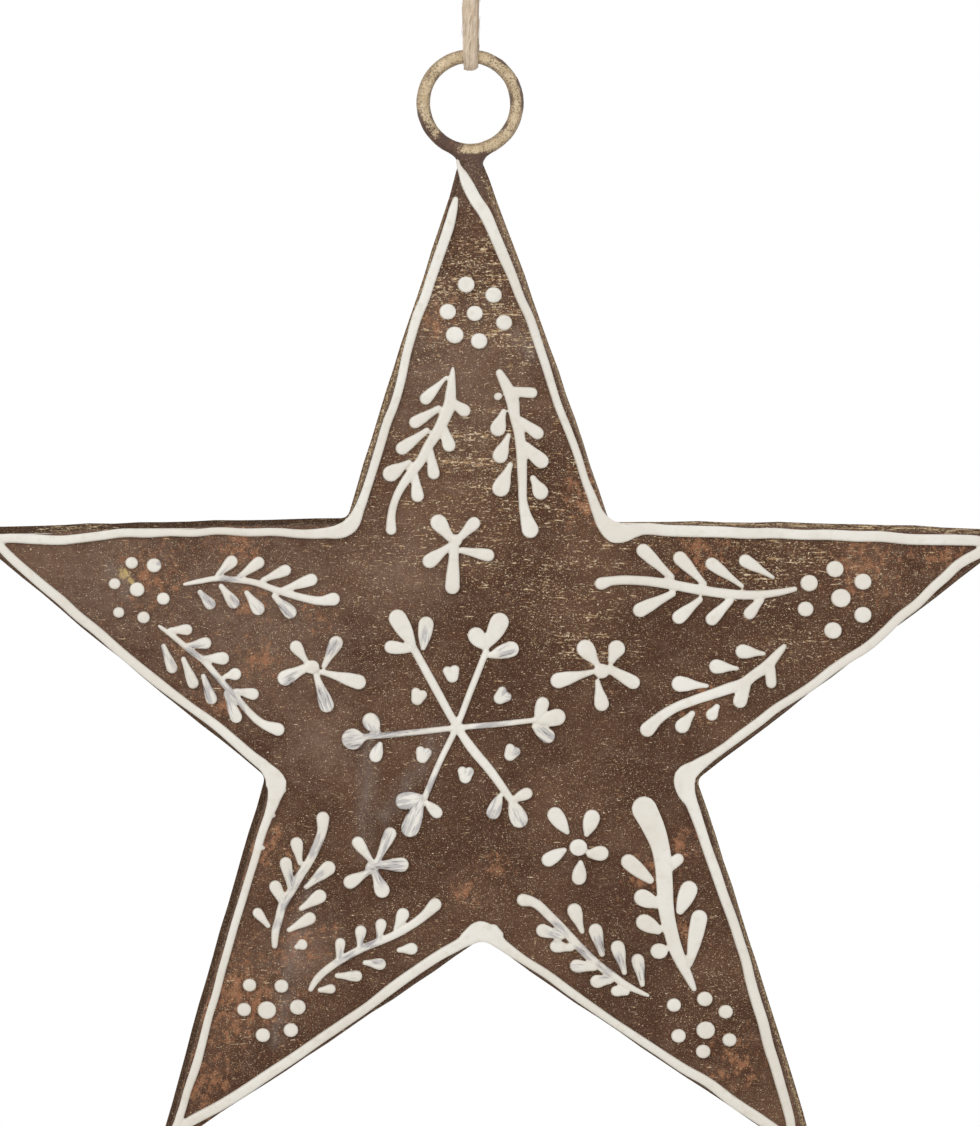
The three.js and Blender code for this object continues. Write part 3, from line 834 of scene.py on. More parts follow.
def brazed_ring():
    """The torus of wire and the neck's sections, melted together as brazing does."""
    clear_selection()
    bpy.ops.mesh.primitive_torus_add(
        location=Vector((0, 0, RING_HEIGHT)) * MM, rotation=(math.pi / 2, 0, 0),
        major_radius=RING_RADIUS * MM, minor_radius=WIRE_RADIUS * MM,
        major_segments=RING_SEGMENTS, minor_segments=WIRE_SIDES,
    )
    ring = bpy.context.object
    ring.name = "ring_and_neck"
    clear_selection()
    bpy.ops.mesh.primitive_circle_add(vertices=WIRE_SIDES, radius=MM)
    neck = bpy.context.object
    circle = coordinates(neck)
    first, *others = [neck_section(circle, *level) for level in NECK]
    move_points(neck, first)
    draw_out(neck, others)
    close_ends()
    add_to_selection(ring)
    bpy.ops.object.join()
    bpy.ops.object.transform_apply(location=True, rotation=True, scale=True)
    apply_modifier(ring, "REMESH", mode="VOXEL", voxel_size=BRAZE_GRAIN * MM)
    apply_modifier(ring, "SMOOTH", factor=0.5, iterations=BRAZE_SMOOTHING)
    points = coordinates(ring)
    for point in points:
        place = Vector(point) / MM
        away = Vector((place.x, 0, place.z - RING_HEIGHT)).normalized()
        point += np.array(away * rolling(place, WIRE_WAVES) * MM)
    move_points(ring, points)
    select_only(ring)
    bpy.ops.object.shade_smooth()
    return ring


def gold_wire_finish():
    """Gold paint full of dark specks and dull stains, painted darker towards the wire's inner and
    outer edge as painted shade of its round sides, and rubbed off to brown at the neck and the
    lower left of the ring."""
    material, tree, shader = new_material("gold_wire", Roughness=0.5)
    place = add_node(tree, "ShaderNodeTexCoord", output="Object")
    cloud = place.noise(*GOLD_CLOUD)
    dull = place.noise(*GOLD_STAIN)
    grit = place.noise(*GOLD_GRIT)
    in_plane = add_node(tree, "ShaderNodeMapping", {"Vector": place, "Scale": (1, 0, 1)})
    off_crest = in_plane.against((0, 0, RING_HEIGHT * MM), "DISTANCE") - RING_RADIUS * MM
    # Painted shade: the gold is darker towards the wire's inner and outer edge, where its dark
    # specks and stains are also thicker.
    edge = off_crest.higher(off_crest * -1).ramp(EDGE_SHADE_FROM * MM, EDGE_SHADE_TO * MM)
    tone = cloud.ramp(0.4, 0.62).mix(gold_paint, gold_pale)
    dulled_and_shaded = (edge + dull.ramp(0.5, 0.66)) * 0.6
    tone = dulled_and_shaded.ramp(0, 1).mix(tone, gold_dull_and_shade)
    stain = near_any(place, ring_stains, WIRE_RADIUS)
    specks = (grit + (stain + edge) * 0.09).ramp(0.55, 0.66)
    tone = (specks * 0.85).mix(tone, ring_dark)
    tone = (grit.ramp(0.4, 0.26) * 0.7).mix(tone, gold_pale)
    stained = stain * (edge + 0.3) + (dull - 0.5)
    tone = stained.ramp(0.4, 0.6).mix(tone, ring_dark)
    rubbed = highest(near(place, seen_at(*spot, 0), reach * MM, fade * MM)
                     for spot, reach, fade in rubbed_places)
    neck = place.height().ramp(seen_at(*neck_gilt, 0).z, seen_at(*neck_bare, 0).z)
    ragged = rubbed.higher(neck) + (dull + grit - 1) * 1.4 + edge * 0.12
    brazed = ragged.ramp(0.34, 0.66)
    brown = cloud.ramp(0.55, 0.72).mix(ring_brown, ring_rust)
    brown = (grit.ramp(0.64, 0.74) * 0.6).mix(brown, gold_paint)
    feed(shader, {"Base Color": brazed.mix(tone, brown),
                  "Specular IOR Level": 0.35 - brazed * 0.23,
                  "Normal": dull.bump(0.07 * MM, 0.8)})
    return material


ring_and_neck = brazed_ring()
ring_and_neck.data.materials.append(gold_wire_finish())
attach(ring_and_neck, "star")
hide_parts("hanging_ring")


# Enamel border
# Thick white enamel, squeezed on to the front in one wavering line round the edge of the face,
# with a blob in each notch. Each point is (x, y, half width) in pixels of the frame.
FACE_DEPTH = -PAN_DEPTH * MM
SINK = 0.15 * MM
BEAD_CREST = 0.75
BEAD_STEEPNESS = 1.7
BEAD_WAVES = ((0.035, 1.1), (0.02, 3.1))
BEAD_ANGLE = math.radians(50)
# A bead draws in by this much, in pixels, as it settles, so its tube is drawn that much wider.
BEAD_SETTLES = 0.3
BEAD_GRAIN = 0.14
BEAD_SMOOTHING = 5
BEAD_SIDES = 3
STROKE_RESOLUTION = 4
ROUND_END = [(0.5, 0.87), (0.87, 0.5), (1.0, 0.08)]
border_stroke = [
    (459.4, 160.5, 1.6), (460.6, 165, 2.2), (462, 169.5, 3), (464.3, 174.5, 4.5), (466.4, 180, 5.5),
    (469, 186, 6.2), (476.4, 200.5, 6.3), (484, 212, 6.3), (494, 234, 5.5), (503.5, 256.5, 5.5),
    (512, 276, 4.8), (520.2, 297.8, 4.4), (529, 316.5, 4.4), (537.4, 341.2, 4.4),
    (545.8, 366.4, 4.2), (554.2, 393.6, 3.9), (558, 405.3, 3.9), (568, 430, 3.9), (578, 457, 3.8),
    (585, 480, 3.8), (591.5, 496.2, 4.4), (598, 513.4, 5.6), (605.6, 525.4, 8.4),
    (614.6, 532, 11.2), (624, 533, 9.2), (633, 531, 7), (643, 529, 5.8), (667, 530.6, 5.8),
    (695, 531.4, 5.8), (721, 532, 5.6), (748, 533.5, 5.4), (774, 533.2, 5.2), (802, 534.8, 5),
    (828, 534.8, 5.2), (856, 536.3, 5.4), (881, 536.6, 5.4), (908, 539.2, 5.4), (935, 539.8, 5.4),
    (960, 540.1, 5.4), (982, 542, 5.2), (990, 546, 4.8), (982, 551, 5.4), (958.2, 564.5, 5),
    (945.8, 576.2, 5), (933, 587.5, 4.8), (917, 603.6, 4.8), (900.2, 616.6, 4.8), (883.3, 633, 4.7),
    (866.3, 647.4, 4.7), (849.6, 657.8, 4.6), (831.8, 669.9, 4.6), (811, 686, 4.4),
    (791.7, 698.5, 4.3), (775, 709, 4.4), (760.2, 720.8, 4.6), (739, 736.4, 4.6),
    (725.3, 746.7, 4.2), (711, 756.6, 4.8), (696.4, 766.6, 7), (685, 777, 11.2),
    (685.2, 789.2, 9.8), (691.4, 803.2, 6.2), (700.1, 827.3, 5.2), (707.3, 849.2, 5),
    (715.6, 872.1, 5.2), (723, 894, 4.9), (732.5, 919.8, 4.9), (740, 943, 4.9), (745.5, 960.2, 4.9),
    (750.4, 981.2, 5.2), (756.4, 1002.2, 5.4), (763, 1023, 5.4), (768.3, 1045.2, 5.4),
    (775, 1066, 5.2), (781, 1087, 5), (787, 1108, 4.8), (790.5, 1124, 4.6), (790, 1136, 4),
    (782, 1134, 4.8), (775, 1129.5, 5.2), (758.7, 1118.5, 5.5), (732.8, 1101.5, 5.4),
    (707.8, 1082.3, 5), (683.7, 1068.6, 4.8), (659.7, 1052.7, 4.3), (636.4, 1037.3, 4.2),
    (612.9, 1021.7, 4), (589.2, 1005.2, 4.2), (568.2, 990.2, 4.4), (546.4, 974, 4.3),
    (525.4, 960.9, 4.2), (502, 944.6, 5.8), (490, 934.6, 9), (480, 931.6, 11), (470, 936.6, 8.5),
    (461, 943, 5.6), (439.6, 955, 5.2), (416.3, 970.4, 5), (392, 987.7, 5.2), (368.6, 1005.9, 4.6),
    (343, 1023.5, 4.8), (318.5, 1040.2, 4.8), (292.9, 1058.1, 5), (269.1, 1073.7, 5.1),
    (243.2, 1091.2, 5.2), (218.5, 1106.3, 5.2), (196.2, 1118.1, 5.2), (184.6, 1125, 5),
    (177, 1132, 4.2), (178.6, 1121, 4), (182.8, 1107.2, 3.7), (187.6, 1090.2, 3.8),
    (196, 1066, 4.4), (202, 1044, 4), (209.1, 1015.8, 3.8), (215.6, 995, 3.8), (222, 970, 3.8),
    (228, 949, 3.8), (235, 924, 3.8), (243, 898, 3.8), (249, 878, 3.7), (256, 855, 3.9),
    (261, 836.3, 4), (268.5, 815.6, 4.4), (274, 799, 6.3), (276, 783, 10.5), (265.9, 767.8, 6),
    (252.3, 756.6, 5.2), (232.8, 739.6, 4.9), (215, 724.5, 4.6), (193.1, 708.8, 4.2),
    (172.7, 693.8, 4.6), (155.1, 680.2, 5), (136.8, 665.5, 4.8), (117.7, 649.5, 4.8),
    (97.7, 631.6, 4.8), (77.1, 615.1, 4.8), (61.5, 600.6, 4.9), (46, 588, 4.8), (29.4, 573.8, 4.6),
    (12.3, 558.7, 4.4), (0, 546, 4.2), (-5, 540, 4), (2, 538.6, 4.4), (34, 539.3, 4.8),
    (62, 540.2, 4.6), (77.8, 538.6, 4.4), (101, 535.8, 4.4), (124, 532.9, 4.3), (147, 533.4, 4.2),
    (170, 532.6, 3.6), (194, 533, 3.8), (218, 531, 3.5), (247, 532.5, 3.9), (275, 532, 4),
    (304, 534, 4.4), (326, 533, 5.4), (342, 530.5, 7.5), (351, 524.6, 7.5), (359.3, 509, 5),
    (366, 491, 4.2), (371.5, 474, 4.2), (379.7, 447.5, 4.3), (388, 420, 4.3), (393, 408, 4.2),
    (400.5, 383, 4.2), (407, 352.5, 4.2), (411.5, 336, 4.4), (416.5, 318.4, 4.8), (424.5, 299, 4.8),
    (432, 276, 4.9), (440, 253, 5), (448.8, 226.6, 5.2), (453.5, 209, 4.2), (456, 199, 2.6),
]
enamel_white = (231, 225, 214)
enamel_pale = (240, 236, 227)
enamel_warm = (219, 211, 197)
enamel_thin = (182, 178, 178)
enamel_bare = (112, 101, 97)
ENAMEL_CLOUD = (90, 3)
ENAMEL_FLOW = (700, 3)
SCUFF_STREAK = (1500, 4, 0.6, (0.16, 1, 7))
SCUFF_SCRATCH = (3200, 3, 0.6, (0.12, 1, 9), (1, 2, 3))
# Towards the feet the enamel is warmer, between these heights.
WARM_FROM = -160 * MM
WARM_TO = -230 * MM


def with_round_ends(stroke):
    """A stroke with points added past both ends, so that it closes in a half round."""
    ends = []
    for (x, y, r), (next_x, next_y, _) in ((stroke[0], stroke[1]), (stroke[-1], stroke[-2])):
        away = Vector((x - next_x, y - next_y)).normalized()
        ends.append([(x + away.x * r * out, y + away.y * r * out, r * wide)
                     for out, wide in ROUND_END])
    return ends[0][::-1] + list(stroke) + ends[1]


def mark_pull(bead, points, strokes):
    """Stores how each point lies to the nearest stroke: how far along it and how far across."""
    best = np.full(len(points), np.inf)
    pull = np.zeros((len(points), 3))
    for number, stroke in enumerate(strokes):
        places = [seen_at(x, y, FACE_DEPTH) for x, y, _ in stroke]
        gone = 0
        for a, b in zip(places, places[1:]):
            way = np.array((b.x - a.x, b.z - a.z))
            length = np.hypot(*way)
            way /= length
            off = points[:, (0, 2)] - (a.x, a.z)
            along = off @ way
            across = off @ (-way[1], way[0])
            away = np.hypot(along - np.clip(along, 0, length), across)
            nearer = away < best
            best[nearer] = away[nearer]
            pull[nearer] = np.stack([along + gone, across, np.full(len(points), number * MM)],
                                    axis=1)[nearer]
            gone += length
    store(bead, "pull", pull)


def pipe_enamel(name, strokes, smooth=()):
    """Enamel beads on the front face. Each stroke is drawn as a tube of varying width; the tubes
    run together, settle to a flat-topped bead, and are cut off just inside the face. The numbers
    of the strokes that curve are in smooth."""
    clear_selection()
    bpy.ops.curve.primitive_bezier_curve_add(location=(0, 0, 0))
    line = bpy.context.object
    line.name = name
    line.data.splines.clear()
    line.data.dimensions = "3D"
    line.data.bevel_depth = MM
    line.data.bevel_resolution = BEAD_SIDES
    line.data.use_fill_caps = True
    for number, stroke in enumerate(strokes):
        points = with_round_ends(stroke)
        bezier = number in smooth
        spline = line.data.splines.new("BEZIER" if bezier else "POLY")
        knots = spline.bezier_points if bezier else spline.points
        knots.add(len(points) - 1)
        spline.resolution_u = STROKE_RESOLUTION
        for knot, (x, y, r) in zip(knots, points):
            place = seen_at(x, y, FACE_DEPTH)
            if bezier:
                knot.co = place
                knot.handle_left_type = knot.handle_right_type = "AUTO"
            else:
                knot.co = (*place, 1)
            knot.radius = (r + BEAD_SETTLES) * PIXEL / MM
    select_only(line)
    bpy.ops.object.convert(target="MESH")
    bead = bpy.context.object
    apply_modifier(bead, "REMESH", mode="VOXEL", voxel_size=BEAD_GRAIN * MM)
    apply_modifier(bead, "SMOOTH", factor=0.5, iterations=BEAD_SMOOTHING)
    points = coordinates(bead)
    for point in points:
        proud = (FACE_DEPTH - point[1]) / MM
        if proud > 0:
            ripple = rolling(Vector(point) / MM, BEAD_WAVES)
            proud = BEAD_CREST * math.tanh(BEAD_STEEPNESS * proud / BEAD_CREST) * (1 + ripple)
        point[1] = FACE_DEPTH - proud * MM
    move_points(bead, points)
    select_only(bead)
    bpy.ops.object.mode_set(mode="EDIT")
    bpy.ops.mesh.select_all(action="SELECT")
    bpy.ops.mesh.bisect(plane_co=(0, FACE_DEPTH + SINK, 0), plane_no=(0, 1, 0), use_fill=True,
                        clear_outer=True)
    face_outwards()
    points = coordinates(bead)
    mark_pull(bead, points, strokes)
    relief = points[:, 1] - FACE_DEPTH
    points[:, 1] = FACE_DEPTH
    beaten(points)
    points[:, 1] += relief
    move_points(bead, points)
    bpy.ops.object.shade_smooth_by_angle(angle=BEAD_ANGLE)
    return bead


def wear(bead, places):
    """Marks where the enamel is scuffed thin, 0 to 1. Places are (x, y, reach) in pixels."""
    points = coordinates(bead)
    amount = np.zeros(len(points))
    for x, y, reach in places:
        spot = seen_at(x, y, FACE_DEPTH)
        away = np.hypot(points[:, 0] - spot.x, points[:, 2] - spot.z)
        amount = np.maximum(amount, 1 - away / (reach * PIXEL))
    store(bead, "wear", amount)


def enamel_finish():
    """Off-white enamel with a soft gloss, a little uneven in tone, grey where it is scuffed."""
    material, tree, shader = new_material("enamel", Roughness=0.42, Specular_IOR_Level=0.4)
    place = add_node(tree, "ShaderNodeTexCoord", output="Object")
    worn = stored(tree, "wear")
    pull = stored(tree, "pull", "Vector")
    flow = place.noise(*ENAMEL_FLOW)
    tone = place.noise(*ENAMEL_CLOUD).ramp(0.4, 0.62).mix(enamel_white, enamel_pale)
    warm = flow.ramp(0.52, 0.7) + place.height().ramp(WARM_FROM, WARM_TO)
    tone = (warm * 0.5).ramp(0, 1).mix(tone, enamel_warm)
    thin = (pull.noise(*SCUFF_STREAK) + worn * 0.1).ramp(0.5, 0.62) * worn.ramp(0, 0.35)
    tone = (thin * 0.85).mix(tone, enamel_thin)
    bare = (pull.noise(*SCUFF_SCRATCH) + worn * 0.06).ramp(0.6, 0.68) * thin
    feed(shader, {"Base Color": (bare * 0.8).mix(tone, enamel_bare),
                  "Normal": flow.bump(0.05 * MM, 0.5)})
    return material


enamel = enamel_finish()


def finish_enamel(bead, solid=None, worn_places=()):
    """Gives a motif its finish and its place on the star, for the solid that it stands for."""
    wear(bead, worn_places)
    bead.data.materials.append(enamel)
    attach(bead, "star")
    if solid:
        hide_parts(solid)


# Where the tube was lifted off the left of the border, it left a short spur inwards.
border_spurs = [
    [(279, 787, 4), (283.4, 790, 3)], [(270, 815, 2.5), (274, 815.6, 1.8)],
    [(260, 846.4, 2.4), (263.4, 848, 1.8)], [(493, 930, 6), (499.5, 934.5, 4)],
]
finish_enamel(pipe_enamel("enamel_border", [border_stroke] + border_spurs, smooth=(0,)),
              "border_line")


# Enamel snowflake
# Three crossing lines of enamel, piped like the border, with three petals on each of the six
# ends. Each petal is a drop that the tube pulled to a tail.
TAIL = 2.6
# How much of a petal's swell is left along its way to the tail: fat as a drop, or slim as a pin.
DROP_SWELL = ((0.3, 0.93), (0.55, 0.72), (0.8, 0.36))
PIN_SWELL = ((0.3, 0.78), (0.6, 0.32), (0.8, 0.12))
snowflake_lines = [
    [(412.6, 646.6, 3.8), (435, 687.4, 4.2), (457.4, 727.4, 3.8), (471.4, 748, 4.8),
     (490.8, 771.4, 4.5), (511, 800, 3.6)],
    [(486, 651.6, 3.2), (471, 689.6, 3.2), (456, 728, 3), (439.6, 762, 2.9), (425, 797, 3)],
    [(363, 737, 3), (410, 732.8, 3), (456, 727.8, 2.7), (500, 724, 2.8), (537, 719.8, 2.5)],
]
# Each petal is (x, y, radius) of its head and (x, y) of its tail, in pixels, and the radius of
# the tail where it isn't TAIL.
snowflake_petals = [
    (397.5, 618.4, 9.2, 413.7, 646), (390.8, 647, 6.7, 411.8, 649.5), (426, 624, 7.7, 423, 648),
    (499.3, 622, 9.6, 488, 646), (476, 635.6, 8.6, 484.5, 648), (511, 649, 8, 490, 655.7),
    (542.5, 703.5, 6.7, 537, 720), (557, 717, 8.6, 538, 721.7), (547.7, 736, 7.3, 534, 726.5),
    (352.2, 739, 10.8, 364, 737.6, 3.4), (370.6, 721.2, 8.6, 377, 731, 3.4),
    (375.5, 756, 6.5, 380, 744), (404, 801, 8.8, 422, 797), (410, 828, 9.2, 421, 801),
    (436.7, 812.5, 6, 427, 803), (493, 812.4, 7, 500, 796), (519, 819, 9, 511, 801),
    (526.6, 793.4, 6, 514, 799),
]
snowflake_wear = [
    (380, 730, 26), (350, 742, 18), (404, 802, 26), (410, 826, 20), (490, 812, 20), (516, 818, 16),
    (548, 738, 18), (424, 640, 16), (495, 724, 26), (400, 736, 30), (430, 782, 24), (506, 654, 12),
]


def petals(drops, swell=DROP_SWELL):
    """Strokes for drops pulled to a tail."""
    strokes = []
    for x, y, r, end_x, end_y, *tail in drops:
        end_r = tail[0] if tail else TAIL
        waist = [(x + (end_x - x) * along, y + (end_y - y) * along, end_r + (r - end_r) * full)
                 for along, full in swell]
        strokes.append([(x, y, r), *waist, (end_x, end_y, end_r)])
    return strokes


finish_enamel(
    pipe_enamel("enamel_snowflake", snowflake_lines + petals(snowflake_petals), smooth=(0, 1, 2)),
    "snowflake", snowflake_wear,
)


# Enamel flowers
# Five small flowers, each of five petals pulled in to a dot, by the same hand and tube: their
# petals, the dot at their middle, and where they are scuffed.
flowers = {
    "top": (
        [(438.4, 522.6, 8.4, 449.6, 537, 4.6), (473.8, 523.2, 6.5, 461.6, 536, 4),
         (429.6, 561, 7.4, 449, 546.6, 3.4), (488, 555.2, 6.4, 462, 550.4, 3.4),
         (452.2, 587, 7.4, 454.2, 546, 4.4)],
        [(455.7, 540.4, 6)], []),
    "left": (
        [(296, 646.8, 6.5, 306, 661), (285, 678, 7.8, 304, 668.6, 4.4),
         (326.4, 705, 7.6, 316.4, 676, 3), (336, 642.7, 7, 324, 666),
         (358.5, 682, 7.6, 321.4, 671.8)],
        [(312, 667, 7)], [(326, 700, 20), (290, 678, 12), (334, 650, 12)]),
    "right": (
        [(585.4, 648.6, 9.2, 599, 667), (616.4, 648.8, 8.8, 611.6, 660, 4),
         (633, 682.3, 7, 609.6, 669, 4.6), (601.5, 703.8, 7.5, 597.5, 681.5),
         (558.2, 680.5, 8, 592, 672)],
        [(601.5, 671, 7.5)], []),
    "lower_left": (
        [(357.9, 842.6, 6.3, 371.9, 862), (390.1, 833.5, 6.4, 376.8, 862),
         (401.4, 864.6, 7.4, 376, 865, 3.4), (382, 890.2, 7.8, 375, 873, 3.6),
         (350.1, 881.9, 7, 369.1, 871.4)],
        [(371.6, 868, 6.2)], [(384, 848, 22), (376, 872, 18), (394, 866, 14)]),
    "lower_right": (
        [(555.1, 815, 8.2, 567, 832.1), (591.8, 817.6, 8.2, 586.5, 834.5),
         (601, 853.2, 7.6, 590.6, 853.6, 4.6), (548.5, 859.6, 7.2, 564.3, 850),
         (578.8, 877.6, 7.4, 580.6, 862.5)],
        [(578.2, 847.4, 8.6)], []),
}
DOT_DRAG = 0.4


def dots(places):
    """Strokes for round dots, (x, y, radius), each a very short line."""
    return [[(x - DOT_DRAG, y, r), (x + DOT_DRAG, y, r)] for x, y, r in places]


for place, (drops, middle, worn) in flowers.items():
    swell = DROP_SWELL if place == "lower_right" else PIN_SWELL
    finish_enamel(pipe_enamel(f"enamel_flower_{place}", petals(drops, swell) + dots(middle)),
                  f"flower_{place}", worn)


# Enamel sprigs
# Ten sprigs, two in each arm: a stem drawn in one pull, with a blob at its root, and leaves
# dabbed beside it, some of which don't quite reach the stem. Then come the scuffed places.
sprigs = {
    "top_left": (
        [(453, 367.7, 1.2), (451.6, 381.7, 4), (450.6, 394, 5.4), (449.6, 404.3, 6.2),
         (443.9, 418.7, 6), (436.7, 433, 5.5), (427.4, 447.5, 4.8), (421.2, 459.8, 4.8),
         (412.6, 471, 5), (401.7, 486.5, 4.1), (395.5, 499, 3.7), (391.4, 515.3, 4),
         (391, 529.7, 5.4)],
        [(425.6, 398.6, 6.2, 446.4, 377, 1.6), (415, 422.3, 6.2, 438.6, 408.4, 3.2),
         (402, 448.4, 6.6, 427, 430.4, 3), (390.6, 473.6, 8.2, 409.2, 462, 2.6),
         (464.2, 410.6, 6.4, 453.6, 403.2, 4.4), (449, 445.4, 6.6, 443.6, 428, 4),
         (433.6, 473.4, 6.1, 430.4, 451.6, 3.3), (417.5, 495.9, 6.4, 415, 476, 3.5)], []),
    "top_right": (
        [(499.4, 372.8, 3.8), (506, 385.4, 5.6), (511.8, 398.2, 6.8), (514.8, 416.7, 5.2),
         (518.6, 431, 5.2), (521, 447.5, 5.4), (522, 470, 4.9), (522.4, 487, 4.3),
         (522.8, 500, 4.2), (525.4, 514.7, 5.6), (530, 529.6, 8.6)],
        [(532, 392.8, 5.4, 514, 391.6, 5), (537.4, 433.2, 6.4, 521, 421.4, 4.6),
         (541.2, 461, 7.6, 525, 447, 5.6), (540.4, 491.8, 8, 532.8, 478, 3),
         (497.8, 428.4, 8, 503.6, 411.4, 2.8), (500, 455.6, 7.8, 508.4, 435.4, 2.4),
         (500.6, 488, 8.9, 510.4, 464.4, 2.6), (497.6, 396.6, 3.9, 498.6, 396, 3.6)], []),
    "left_upper": (
        [(184, 584.4, 1.4), (200, 581.2, 2.6), (218, 578.4, 2.8), (236, 579.8, 3), (253, 582, 3.2),
         (271, 588.2, 3.3), (287, 593.4, 3.6), (303, 597.8, 3.8), (320, 600.8, 4.4),
         (333.4, 599, 6.6)],
        [(231.6, 561.4, 6.2, 218, 574.6), (258.6, 562.4, 6, 239, 577),
         (285.4, 570.2, 5.8, 263, 580), (311.4, 579.6, 6.2, 281, 590.4), (210, 604, 5.8, 200, 592),
         (233.4, 602.5, 6.3, 221, 586), (258, 608.6, 6.8, 246.6, 592.6), (290, 612, 6.8, 274, 596)],
        [(205, 600, 16), (232, 600, 14), (256, 604, 16), (285, 610, 16), (230, 578, 14)]),
    "left_lower": (
        [(159, 626, 1.4), (174, 637, 2.8), (188, 648.7, 3), (204, 661, 3.2), (215, 673.6, 3.2),
         (226.5, 687, 3.2), (239, 700.4, 3.4), (249.5, 712.6, 3.6), (262, 723.4, 4.2),
         (278, 729.4, 6.6)],
        [(186.8, 629.6, 5.6, 170.6, 630), (205.5, 643, 6, 188.3, 645.5),
         (222.7, 658.3, 6.5, 204, 658), (235, 674, 6.3, 225.6, 676.4), (253, 694, 6, 236, 691),
         (172, 668, 5.6, 163.4, 646), (193, 683, 5.8, 183.4, 659), (211.4, 698.8, 5.8, 203.4, 676),
         (236, 717, 6.2, 226, 693.5)],
        [(168, 655, 20), (190, 672, 20), (208, 688, 20), (232, 705, 20), (195, 655, 16),
         (228, 690, 14)]),
    "right_upper": (
        [(601, 583.6, 6.4), (611, 581, 4.6), (637, 580.4, 4.6), (667, 583.8, 5), (697, 589.4, 5),
         (724, 593.4, 4.9), (752, 595, 4.5), (775, 593, 3.6), (795, 589, 2.5)],
        [(643.2, 550.6, 7.1, 671, 577, 3.6), (679.8, 558.2, 7.1, 704, 583.6, 3),
         (711.6, 563.8, 6.6, 742, 586.1, 2.2), (745.2, 560.8, 6.7, 773, 577.4, 1.9),
         (640, 610, 7.4, 672.6, 593.4, 3.4), (678.8, 617.2, 7, 700, 599.4, 3),
         (711.8, 619, 6.6, 730, 600.6, 3.8), (749.4, 613.4, 6.2, 760.4, 600, 3.8)], []),
    "right_lower": (
        [(647.2, 729.4, 7.6), (657.8, 719, 5.4), (673.8, 708.4, 4.8), (692.6, 700.7, 4.8),
         (711.4, 694.4, 5.1), (730, 688, 5.6), (742.4, 684, 5.8), (753, 675.8, 5.2),
         (767.2, 665.6, 5.8), (775.2, 656.4, 4.5), (784, 646.4, 2.6)],
        [(679.5, 683.8, 8.2, 707, 685.8, 2), (716.2, 666.4, 7.4, 737.2, 668.4, 2),
         (742.6, 651.4, 7.4, 764, 653.6, 2), (682, 726, 7.4, 692.3, 713.4, 3),
         (711.8, 714.6, 6.2, 716.9, 706.6, 3), (739.8, 701, 7.2, 744.6, 686, 6),
         (771, 683, 5.4, 770, 668, 5.2)], []),
    "lower_left_upright": (
        [(322.8, 818, 6.6), (322, 831, 4.8), (316.5, 846, 4.4), (309, 861.6, 4.2),
         (300, 875.6, 4.4), (292, 889.6, 4.2), (283, 904, 4.4), (278.5, 920.5, 4), (275.4, 932, 4),
         (274.6, 946, 2.8)],
        [(296.5, 843.3, 6.4, 300, 863), (285.6, 863, 6.2, 290.5, 886, 3.4),
         (275.3, 886.6, 6.4, 283, 902.3, 4), (257.6, 912.8, 5.2, 268, 925.6),
         (328.2, 868, 7.4, 306, 887), (319.6, 896.2, 7, 301, 908.6), (309.8, 918.2, 6.3, 289, 930),
         (301.8, 944.6, 5.8, 296.6, 947)],
        [(318, 846, 16), (300, 880, 18), (290, 905, 14), (282, 925, 12), (315, 876, 12)]),
    "lower_left_slanted": (
        [(435, 904.4, 6.6), (424.4, 915.2, 4.6), (410.4, 925.6, 4.1), (396, 934, 3.9),
         (380.4, 941, 3.7), (362.4, 948.3, 3.7), (344, 958, 3.7), (329.6, 967.4, 3.8),
         (317, 978.8, 3.6), (310.5, 989.5, 2.4)],
        [(340.3, 942.9, 5.2, 338.6, 960), (360.7, 931, 5.8, 359.5, 945), (381, 924, 5.6, 379, 938),
         (402.8, 914.2, 6.5, 396, 929), (411.6, 948.6, 6.1, 399, 950), (380, 964, 6, 365, 962.6),
         (356.5, 976, 5.8, 337, 975.6), (331, 988.8, 4.8, 320, 990)],
        [(372, 945, 16), (345, 958, 14), (350, 974, 12), (375, 962, 10)]),
    "lower_right_upright": (
        [(644, 809, 12.8), (653, 827, 11.4), (660, 846.6, 9.4), (663.2, 866.5, 8.5),
         (664.6, 888, 8.3), (666, 909.4, 7.9), (670.4, 930.8, 7.2), (676.2, 950.7, 6.8),
         (682.6, 965, 5.8), (688.8, 977.6, 4.4), (694, 989, 2.6)],
        [(628.6, 861.9, 8, 650, 880, 4), (642.4, 897.6, 8.8, 655.6, 903.6, 5),
         (644, 922.2, 8.4, 657.4, 929.6, 5), (658.2, 951, 8, 660, 951, 7.8),
         (678, 859, 5.8, 668, 868.1, 5), (688.6, 889.6, 9, 680, 910.6, 4.2),
         (699, 918, 8.4, 689.6, 964.6, 2.6)], []),
    "lower_right_slanted": (
        [(523, 899.9, 6.4), (534, 902.5, 4.8), (549, 915.5, 4.6), (565.8, 932.4, 4.5),
         (579.6, 947.2, 4.4), (594.9, 962, 4.2), (611.7, 975, 4), (628.6, 986.5, 3.4),
         (648, 995.5, 1.6)],
        [(574.4, 910.6, 7.5, 582, 931.4), (595.4, 930.4, 7.1, 602, 954, 3),
         (617.6, 947.4, 7.2, 624.4, 972.6), (637.6, 960.2, 6.6, 642.3, 984.4),
         (542.6, 930.4, 6.8, 562, 936.4, 3.2), (556, 946.1, 6.4, 571, 948.2, 3.2),
         (576.4, 965.8, 6.7, 594, 967.2, 3.8), (596.6, 981.4, 6.7, 609.4, 980, 4),
         (616, 991, 5.4, 626.4, 992.4, 3.2)],
        [(560, 932, 16), (585, 950, 14), (606, 968, 14), (600, 944, 12), (624, 962, 14),
         (640, 972, 12), (580, 966, 12)]),
}
